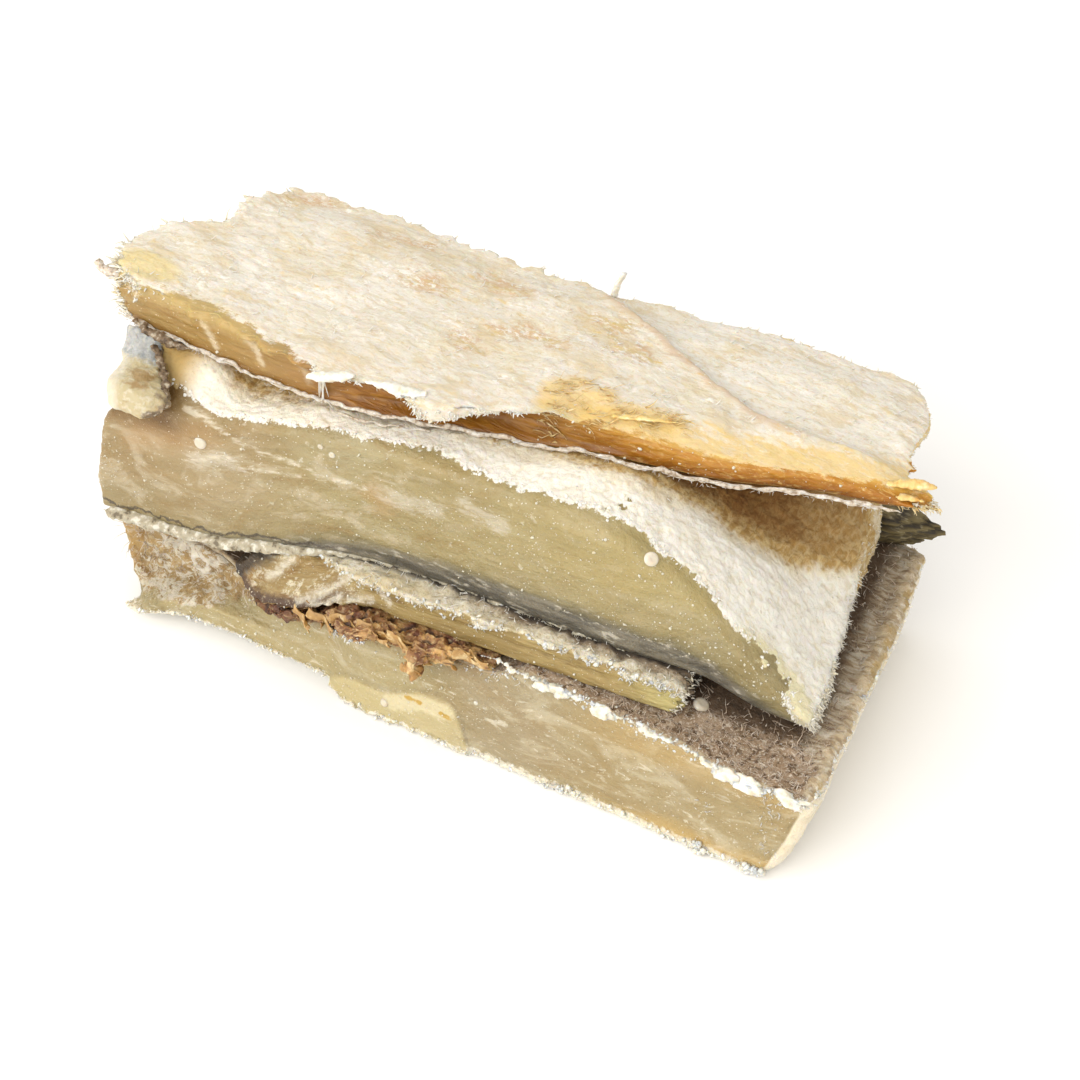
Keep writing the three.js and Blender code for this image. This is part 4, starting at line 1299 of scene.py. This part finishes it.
def make_frays(block):
    """Torn fibres and flakes at the ends and edges of the portions."""
    top, strip, loin = block["top_portion"], block["belly_strip"], block["loin_portion"]
    y, strip_y, loin_y = top.points[:, 1], strip.points[:, 1], loin.points[:, 1]
    return joined(
        tuft(top, top.left * fall(y, 4, 14), 300, heading=(-1, -0.2, 0.1), spread=0.4, length=(0.8, 2.8),
             width=(0.25, 0.6)),
        tuft(top, top.left * rise(y, 4, 14), 130, heading=(-1, 0.2, 0.1), spread=0.4, length=(0.4, 1.2),
             width=(0.2, 0.4)),
        tuft(top, top.right * fall(y, 16, 30), 110, heading=(1, 0.1, 0), spread=0.5, length=(0.4, 1.0),
             width=(0.2, 0.4)),
        tuft(top, top.right * rise(y, 16, 30), 60, heading=(1, 0.1, 0), spread=0.4, length=(0.3, 0.6),
             width=(0.15, 0.3)),
        tuft(top, top.back, 380, heading=(0.1, 1, 0.15), spread=0.5, length=(0.3, 1.0), width=(0.16, 0.36)),
        tuft(strip, strip.right * fall(strip_y, 0, 20), 130, heading=(1, -0.15, 0.1), spread=0.3,
             length=(0.5, 1.5), width=(0.18, 0.45)),
        tuft(strip, strip.left, 40, heading=(-1, -0.2, 0.1), spread=0.4, length=(0.5, 1.5),
             width=(0.12, 0.3)),
        tuft(loin, loin.right * fall(loin_y, -2, 8), 200, heading=(0.7, -0.6, -0.1), spread=0.5,
             length=(0.5, 1.7), width=(0.2, 0.5)),
        tuft(loin, loin.right * rise(loin_y, -2, 8), 150, heading=(0.9, -0.2, 0.2), spread=0.5,
             length=(0.3, 0.9), width=(0.12, 0.3)))


def make_shreds(block):
    """Orange fibres fanned over the top portion's front, with a spike, and the frayed tips at its right."""
    top = block["top_portion"]
    fan = hill(top.fields["fan"], 0, 3.5)
    spike = [(15, -0.4, 64.4, 0.3), (18.5, 1.0, 64.9, 1.2), (22, 2.4, 64.9, 0.9), (26.2, 4.6, 64.4, 0.1)]
    upper_tip = [(60, 14.5, 58.4, 0.3), (65, 16.6, 59.2, 1.2), (68, 17.8, 59.4, 1.4), (70.4, 18.6, 59.2, 0.4)]
    lower_tip = [(61, 14.4, 57.0, 0.4), (66, 15.6, 57.2, 1.1), (69.2, 16.4, 57.2, 0.3)]
    return joined(
        rope(spike, 3.1, 0.35, 0.3, size=0.9),
        rope(upper_tip, 5.3, 0.6, size=0.9),
        rope(lower_tip, 6.4, 0.5, size=0.9),
        tuft(top, fan, 210, heading=(1, 0.25, 0.0), spread=0.22, length=(1.4, 3.8), width=(0.12, 0.32),
             flat=0.3, lean=0.1),
        tuft(top, top.right * hill(top.points[:, 1], 16, 5), 90, heading=(1, 0.1, -0.1), spread=0.3,
             length=(0.5, 1.8), width=(0.14, 0.36), flat=0.35))


def make_flakes(block):
    """Loose white crust: a thin bridge and two lips over the recess, a shard behind, and tatters."""
    top = block["top_portion"]
    n = 7
    roots = np.stack([rng.normal(-35.9, 0.3, n), np.full(n, -17.2), rng.uniform(66.0, 67.0, n)], 1)
    down = np.stack([rng.normal(0.02, 0.05, n), np.full(n, -0.12), np.full(n, -1.0)], 1)
    bridge = strands(roots, down, rng.uniform(5.5, 8.0, n), rng.uniform(0.16, 0.3, n), curl=0.05, steps=6,
                     sides=4)
    edge = top.front * hill(top.fields["crust"], 0.6, 1.6) * fall(top.points[:, 0], 4, 12)
    shard = [(-6.5, 36.0, 62.5, 1.0), (-6.2, 36.8, 65.0, 0.9), (-5.2, 37.6, 67.4, 0.7)]
    left_lip = [(-36.6, -20.6, 65.4, 0.5), (-34, -20.4, 66.2, 1.3), (-31, -19.8, 66.9, 1.4),
                (-27.6, -18.4, 67.6, 0.8)]
    right_lip = [(-25, -18.6, 67.6, 0.5), (-20.4, -17.6, 67.4, 1.3), (-17.4, -16.4, 66.6, 1.6),
                 (-14, -15.4, 66.8, 0.7)]
    return joined(
        bridge,
        rope(shard, 7.7, 0.5, up=(1, 0, 0.2)),
        rope(left_lip, 1.7, 0.6, 0.4, size=1.8),
        rope(right_lip, 2.9, 0.6, 0.45, size=1.8),
        tuft(top, edge, 420, heading=(0.1, -0.6, -0.5), spread=0.6, length=(0.3, 1.0), width=(0.16, 0.42)))


def make_down(block):
    """Short fibres and flakes lying on the crusts."""
    top, loin, strip = block["top_portion"], block["loin_portion"], block["belly_strip"]
    loin_x, loin_y, _ = loin.points.T
    strip_x, strip_y, _ = strip.points.T
    crust = rise(top.fields["crust"], 1, 3) * top.top * fall(top.fields["bank"], 0.1, 0.6)
    chalky = rise(loin.fields["chalk"], 0, 1) * (loin_y < 24) * (0.15 + rise(loin_x, 0, 24))
    rim = hill(loin.fields["chalk"], 0.4, 0.9) * (loin_y < 0)
    cream = (strip.fields["cream"] > 0.5) * rise(strip_x, -34, -20) * fall(strip_y, -18, -10)
    return joined(
        tuft(strip, cream, 500, heading=(0.4, -0.4, 0), spread=0.7, length=(0.5, 1.5), width=(0.1, 0.26),
             curl=0.7),
        tuft(top, crust, 1300, heading=(1, -0.05, 0), spread=0.4, length=(0.5, 1.6), width=(0.12, 0.26),
             curl=0.3, lean=0.04, flat=0.3),
        tuft(loin, chalky * (loin.fields["painted_shade"] < 1), 900, heading=(0.75, -0.6, -0.3), spread=0.4,
             length=(0.5, 1.6), width=(0.1, 0.26), curl=0.3, lean=0.08, flat=0.35),
        tuft(loin, rim, 300, heading=(0, -0.6, -0.4), spread=0.8, length=(0.15, 0.45), width=(0.2, 0.45)),
        crumbs(loin, rim, 520, lift=-0.1, sizes=(0.12, 0.4)))


def make_fold(block):
    """The dark fold of skin between the top portion and the flap, and down the flap's right edge."""
    under_top = [(-79.5, -18.4, 61.2, 0.4), (-76, -18.9, 60.4, 1.1), (-72.4, -19.1, 59.8, 1.5),
                 (-69.2, -18.9, 59.5, 1.1), (-66, -18.4, 59.6, 0.3)]
    down_flap = [(-73.4, -20.2, 58.4, 0.5), (-70, -22.8, 56.8, 0.7), (-66.6, -26, 55.4, 0.6),
                 (-63.8, -28.8, 53.6, 0.4)]
    return joined(rope(under_top, 41.0, 0.6, 0.7, size=1.4), rope(down_flap, 43.0, 0.6, 0.8, size=1.4))


def make_fuzz(block):
    """Short curly hairs of dried slime on the base's brown skin and on the wall at its front's left."""
    base = block["base_portion"]
    seen = (base.fields["skin"] > 0.2) * (0.12 + rise(base.points[:, 0], 26, 42))
    parts = []
    for portion, weight, count, length, width in (
            (base, seen, 2200, (0.5, 1.3), (0.07, 0.16)),
            (base, (base.fields["wall"] > 0) * 1.0, 120, (0.8, 2.4), (0.06, 0.14))):
        roots, normals = scatter(portion, weight, count, 0.0)
        directions = 0.55 * normals + 0.8 * rng.normal(size=(count, 3))
        inward = np.sum(directions * normals, axis=1, keepdims=True)
        directions += normals * np.maximum(0.3 - inward, 0)
        lengths, widths = rng.uniform(*length, count), rng.uniform(*width, count)
        parts.append(strands(roots, directions, lengths, widths, curl=1.4))
    return joined(*parts)


def sheet(middle, along, across, seed):
    """A thin crumpled sheet about a middle, reaching as far as along and across to each side."""
    uvw, faces = lattice((22, 12, 1))
    u, v, w = (2 * uvw - 1).T[..., None]
    wander = np.stack([uvw[:, 1] * 5, 0 * uvw[:, 1], uvw[:, 0] * 2], 1)
    flat = middle + u * along * (1 + 0.35 * grain(wander, 1.2, 2, seed=seed))[:, None] + v * across
    crease = np.abs(grain(flat, (5, 3, 3), 2, seed=seed + 0.5, gain=0.3))
    lift = 1.8 * crease[:, None] + 0.6 * (1 - v * v) + 0.09 * w
    return flat + unit(np.cross(along, across)) * lift, faces.tolist()


def make_membrane_shreds(block):
    """Crumpled thin sheets that stick out of the membrane, and a clump that hangs from it."""
    sheets = []
    standing, hanging = np.linspace(-33, 5, 18), rng.normal(-6.6, 1.0, 5)
    for k, x in enumerate([*standing, *hanging]):
        hangs = k >= len(standing)
        lean = rng.uniform(-1.7, -1.2) if hangs else rng.uniform(-0.5, 0.4)
        along = np.array([math.cos(lean), rng.uniform(-0.5, 0.5), math.sin(lean)])
        along = along * (rng.uniform(1.1, 1.7) if hangs else rng.uniform(2.0, 3.4))
        across = np.array([-0.6 * math.sin(lean), rng.uniform(-0.9, -0.2), 0.9]) * rng.uniform(0.9, 1.7)
        z = rng.uniform(17.6, 20.4) if hangs else strip_bottom(x) - rng.uniform(0.5, 3.2)
        y = membrane_front(x) + rng.uniform(-0.2, 1.4) - (2.2 if hangs else 0)
        sheets.append(sheet(np.array([x, y, z]), along, across, 11.0 + 3 * k))
    clump = [(-8.4, -30.6, 21.6, 1.1), (-7.4, -31.8, 20.0, 1.6), (-6.6, -32.4, 18.2, 1.7),
             (-6.0, -32.2, 17.0, 1.5)]
    return joined(*sheets, rope(clump, 31.0, 0.8, 0.8, up=(1, 0, 0), size=1.6))


# ---------------------------------------------------------------- salt

def make_specks(block):
    """Fine salt on the cut faces."""
    loin, base = block["loin_portion"], block["base_portion"]
    strip, top = block["belly_strip"], block["top_portion"]
    clustered = 0.15 + rise(grain(loin.points, 7, 3, seed=221), 0.1, 0.6)
    scattered = 0.2 + rise(grain(base.points, 7, 3, seed=222), 0.1, 0.6)
    cut = loin.front * (loin.fields["chalk"] < 0) * rise(loin.fields["height"], 2, 5)
    parts = []
    for portion, weight, count in ((loin, cut * clustered, 560),
                                   (loin, cut * rise(loin.points[:, 0], -10, 20), 300),
                                   (base, base.front * scattered, 640),
                                   (strip, strip.front, 240),
                                   (top, top.front * fall(top.fields["crust"], -1, 0), 160)):
        centres, _ = scatter(portion, weight, count, 0.0)
        sizes = np.clip(rng.lognormal(-2.3, 0.45, count), 0.06, 0.34)
        parts.append(grains(centres, sizes))
    return joined(*parts)


# Each bead's portion, a place near it, and its size.
BEADS = [
    ("loin_portion", (-59.1, -26.3, 44.9), 1.35), ("loin_portion", (33.6, -16.6, 51.2), 1.35),
    ("loin_portion", (-33, -22.5, 52.5), 0.6), ("loin_portion", (-30.5, -22.5, 51.6), 0.7),
    ("base_portion", (44.6, -16.2, 22.4), 1.6), ("base_portion", (-15.2, -29.1, 4.2), 0.9),
    ("base_portion", (4, -28, 12), 0.5), ("belly_strip", (41.5, -19.5, 28.2), 1.3),
    ("belly_strip", (38.5, -20, 28.4), 1.0),
]


def make_beads(block):
    """Round flat discs of clear salt, dished in the middle."""
    parts = []
    round_ball, faces = ball(3)
    dish = 1 - 0.35 * fall(np.hypot(round_ball[:, 0], round_ball[:, 1]), 0.1, 0.75)
    disc = round_ball * np.stack([0 * dish + 1, 0 * dish + 1, 0.55 * dish], 1)
    for name, spot, size in BEADS:
        portion = block[name]
        i = np.argmin(np.linalg.norm(portion.points - np.array(spot), axis=1))
        normal = portion.normals()[i]
        first = unit(np.cross(normal, [0.3, 0.2, 1.0]))
        axes = np.stack([first, np.cross(normal, first), normal])
        parts.append((portion.points[i] + disc * size @ axes, faces.tolist()))
    return joined(*parts)


# Where each melted lump on the base's top edge is along x, and its half length.
LUMPS = [(18.6, 1.8), (21.6, 2.2), (31, 2.6), (55.6, 2.4), (60, 3.4), (68.6, 3.6)]


def blob(centre, size, seed):
    """A smooth melted lump, size being its half length, depth and height."""
    base, faces = ball(4)
    swell = 1 + 0.55 * grain(base * [2.2, 1.2, 1.2], 1.6, 3, seed=seed)
    return np.array(centre) + base * np.array(size) * swell[:, None], faces.tolist()


def make_lumps(block):
    """Fused white salt along the base's top edge, and white flakes and crumbs on the edges round it."""
    base, strip, membrane = block["base_portion"], block["belly_strip"], block["membrane_shreds"]
    x = np.linspace(5, 70, 300)
    line = np.stack([x, 0 * x, 0 * x], 1)
    radius = 0.35 + 0.4 * grain(line, 3.0, 3, seed=231) + 0.5 * hill(x, 40, 5)
    radius = np.maximum(radius * rise(x, 5, 12) * fall(x, 68, 70), 0.04)
    melted = []
    for at, half in LUMPS:
        centre = (at, base_front_head(at) + 0.2, base_crest(at) - 0.9)
        melted.append(blob(centre, (half, 1.1, 0.5 + 0.3 * half), 3.0 * at))
    y = base_front_head(x) + 0.6 + 0.6 * grain(line, 5, 3, seed=233)
    edge = band(np.stack([x, y, base_crest(x) - 0.3 - 0.4 * radius], 1), radius * 1.3, radius * 0.7,
                up=(0, 0.2, 1), seed=234, rough=0.5, size=0.9, sides=14)
    bx, bz = base.points[:, 0], base.points[:, 2]
    foot = 0.4 + hill(bx, 24, 6) + 1.6 * hill(bx, 52, 3) + 2.0 * hill(bx, 62, 5)
    foot = base.front * hill(base.w, 0.05, 0.05) * foot
    clumps = base.front * hill(base.w, 0.08, 0.08) * (hill(bx, 53, 1.8) + hill(bx, 63, 2.6))
    streaks = base.front * (0.6 * hill(bx, 65, 3) * rise(base.w, 0.15, 0.4)
                            + hill(np.hypot(bx - 52, 2 * (bz - 10)), 0, 4))
    crest = hill(base.points[:, 1] - base_front_head(bx), 0.4, 1.4) * rise(bx, -4, 10) * (base.w > 0.9)
    rim = hill(strip.fields["cream"], 0.2, 1.4) * (strip.points[:, 0] > -34) * (strip.points[:, 1] < 0)
    under = membrane.front * fall(membrane.w, 0, 0.25) * hill(membrane.points[:, 0], -22, 9)
    corner = base.right * hill(bz, base_crest(bx), 3)
    return joined(
        edge,
        tuft(base, foot, 170, heading=(0.6, -0.5, 0.7), spread=0.4, length=(0.4, 1.1), width=(0.16, 0.4),
             flat=0.3, lean=0.1),
        crumbs(base, foot, 200, lift=0.2, sizes=(0.15, 0.5)),
        crumbs(base, clumps, 40, lift=0.5, sizes=(0.3, 0.7)),
        tuft(base, streaks, 130, heading=(0.6, -0.2, 0.2), spread=0.7, length=(0.3, 1.2), width=(0.14, 0.34),
             flat=0.3, lean=0),
        *melted,
        crumbs(base, crest, 200, lift=-0.1, sizes=(0.12, 0.4)),
        tuft(base, crest, 110, heading=(0.2, -0.6, -0.1), spread=0.7, length=(0.3, 1.0), width=(0.14, 0.4),
             flat=0.35, lean=0.1),
        crumbs(base, corner, 160, lift=-0.1, sizes=(0.15, 0.45)),
        tuft(base, corner, 140, heading=(0.6, -0.2, 0.3), spread=0.7, length=(0.4, 1.0), width=(0.2, 0.45),
             flat=0.4),
        crumbs(strip, rim, 220, lift=-0.1, sizes=(0.15, 0.5)),
        tuft(strip, rim * (0.3 + rise(strip.points[:, 0], 24, 40)), 240, heading=(0.6, -0.5, -0.1),
             spread=0.6, length=(0.3, 1.0), width=(0.3, 0.65), flat=0.35),
        tuft(membrane, under, 90, heading=(0.2, -0.4, -0.3), spread=0.8, length=(0.4, 1.1), width=(0.2, 0.5)))


# ---------------------------------------------------------------- the pieces

# Each portion's node, surface, finish and slot.
PIECES = [
    ("base_portion", make_base, base_material, "cut_flesh"),
    ("membrane_shreds", make_membrane, membrane_material, "dried_membrane"),
    ("belly_strip", make_strip, strip_material, "belly_flesh"),
    ("loin_portion", make_loin, loin_material, "cut_flesh"),
    ("rear_strip", make_rear, rear_material, "dark_strip"),
    ("skin_flap", make_flap, flap_material, "pale_skin"),
    ("top_portion", make_top, top_material, "salt_crust"),
]

portions = {}
for node, make, colouring, slot in PIECES:
    portions[node] = make()
    piece = make_object(node + "_fine", portions[node].points, portions[node].faces, colouring(),
                        portions[node].fields)
    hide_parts(node)

# Each kind of small thing: its name, what makes it, its finish (colour, dark and light mottles, their size,
# roughness, glow), and slot.
SMALL = [
    ("top_skin_edge", make_top_skin, ((212, 200, 184), (160, 140, 118), (240, 234, 226), 0.9, 0.5, 0.4),
     "pale_skin"),
    ("loin_skin_edge", make_loin_skin, ((182, 172, 148), (118, 106, 84), (230, 225, 210), 1.6, 0.6, 0.3),
     "brown_skin"),
    ("torn_fibres", make_frays, ((242, 233, 210), (230, 213, 174), (250, 245, 230), 2.5, 0.6, 0.3),
     "cut_flesh"),
    ("orange_shreds", make_shreds, ((240, 206, 134), (222, 168, 86), (250, 230, 178), 1.8, 0.45, 0.4),
     "cut_flesh"),
    ("membrane_ribbons", make_membrane_shreds,
     ((184, 140, 82), (110, 68, 38), (230, 198, 144), 2.4, 0.45, 0.25), "dried_membrane"),
    ("skin_fuzz", make_fuzz, ((214, 194, 172), (152, 124, 98), (242, 231, 216), 1.6, 0.8, 0.1), "brown_skin"),
    ("crust_down", make_down, ((247, 243, 232), (238, 228, 204), (252, 250, 245), 1.5, 0.9, 0.2),
     "salt_crust"),
    ("skin_fold", make_fold, ((128, 108, 84), (80, 62, 44), (196, 184, 164), 1.2, 0.6, 0.2), "brown_skin"),
    ("crust_flakes", make_flakes, ((247, 243, 230), (238, 226, 198), (252, 250, 245), 1.5, 0.8, 0.3),
     "salt_crust"),
    ("salt_specks", make_specks, ((236, 226, 200), (226, 212, 180), (246, 240, 226), 0.6, 0.5, 0.3), "salt"),
    ("salt_beads", make_beads, ((222, 210, 190), (208, 192, 168), (234, 226, 212), 3.0, 0.2, 0.5), "salt"),
    ("salt_lumps", make_lumps, ((240, 233, 218), (222, 210, 186), (252, 249, 242), 1.6, 0.45, 0.6), "salt"),
]
for name, make, look, slot in SMALL:
    points, faces = make(portions)
    make_object(name, points, faces, plain_paint(name, *look))


# ---------------------------------------------------------------- camera, floor and light

# The photograph is taken from the right and above, from this far off in mm.
AZIMUTH, ELEVATION, DISTANCE = math.radians(33), math.radians(38), 480
TARGET = SHIFT + [0, 0, 30]
FOCAL_LENGTH, SENSOR = 85, 36
FLOOR_REACH, FLOOR_DROP = 3, 0.0003
FLOOR_GREY, FLOOR_ROUGHNESS = 0.93, 0.9
LIGHT_COLOUR = (1, 0.975, 0.93)
# Each softbox's name, place and size in metres, and power in watts.
SOFTBOXES = [("top_light", (-0.2, 0.15, 1.1), 0.9, 3.0), ("left_light", (-0.7, -0.8, 0.6), 0.6, 5.0),
             ("right_light", (0.9, -0.1, 0.6), 0.6, 1.2), ("front_light", (0.1, -0.9, 0.62), 0.8, 7.5)]
SKY_COLOUR, SKY_STRENGTH = (1, 0.97, 0.92, 1), 0.74
scene = bpy.context.scene


def aimed(name, data, place):
    """An object at a place in metres that looks at the target."""
    obj = bpy.data.objects.new(name, data)
    obj.location = place
    obj.rotation_euler = (Vector(TARGET * MM) - Vector(place)).to_track_quat("-Z", "Y").to_euler()
    scene.collection.objects.link(obj)
    return obj


backward = np.array([math.sin(AZIMUTH) * math.cos(ELEVATION), -math.cos(AZIMUTH) * math.cos(ELEVATION),
                     math.sin(ELEVATION)])
lens = bpy.data.cameras.new("camera")
lens.lens = FOCAL_LENGTH
lens.sensor_width = SENSOR
scene.camera = aimed("camera", lens, (TARGET + backward * DISTANCE) * MM)

for name, place, size, power in SOFTBOXES:
    light = bpy.data.lights.new(name, "AREA")
    light.shape = "SQUARE"
    light.size = size
    light.energy = power
    light.color = LIGHT_COLOUR
    aimed(name, light, place)

floor_mesh = bpy.data.meshes.new("floor")
corners = [(FLOOR_REACH * x, FLOOR_REACH * y, 0) for x, y in ((-1, -1), (1, -1), (1, 1), (-1, 1))]
floor_mesh.from_pydata(corners, [], [(0, 1, 2, 3)])
floor_paint = bpy.data.materials.new("floor")
floor_paint.use_nodes = True
floor_look = floor_paint.node_tree.nodes["Principled BSDF"].inputs
floor_look["Base Color"].default_value = (FLOOR_GREY, FLOOR_GREY, FLOOR_GREY, 1)
floor_look["Roughness"].default_value = FLOOR_ROUGHNESS
floor_mesh.materials.append(floor_paint)
floor = bpy.data.objects.new("floor", floor_mesh)
floor.location = (0, 0, -FLOOR_DROP)
scene.collection.objects.link(floor)

world = bpy.data.worlds.new("studio")
world.use_nodes = True
sky = world.node_tree.nodes["Background"].inputs
sky[0].default_value = SKY_COLOUR
sky[1].default_value = SKY_STRENGTH
scene.world = world
scene.view_settings.view_transform = "Standard"
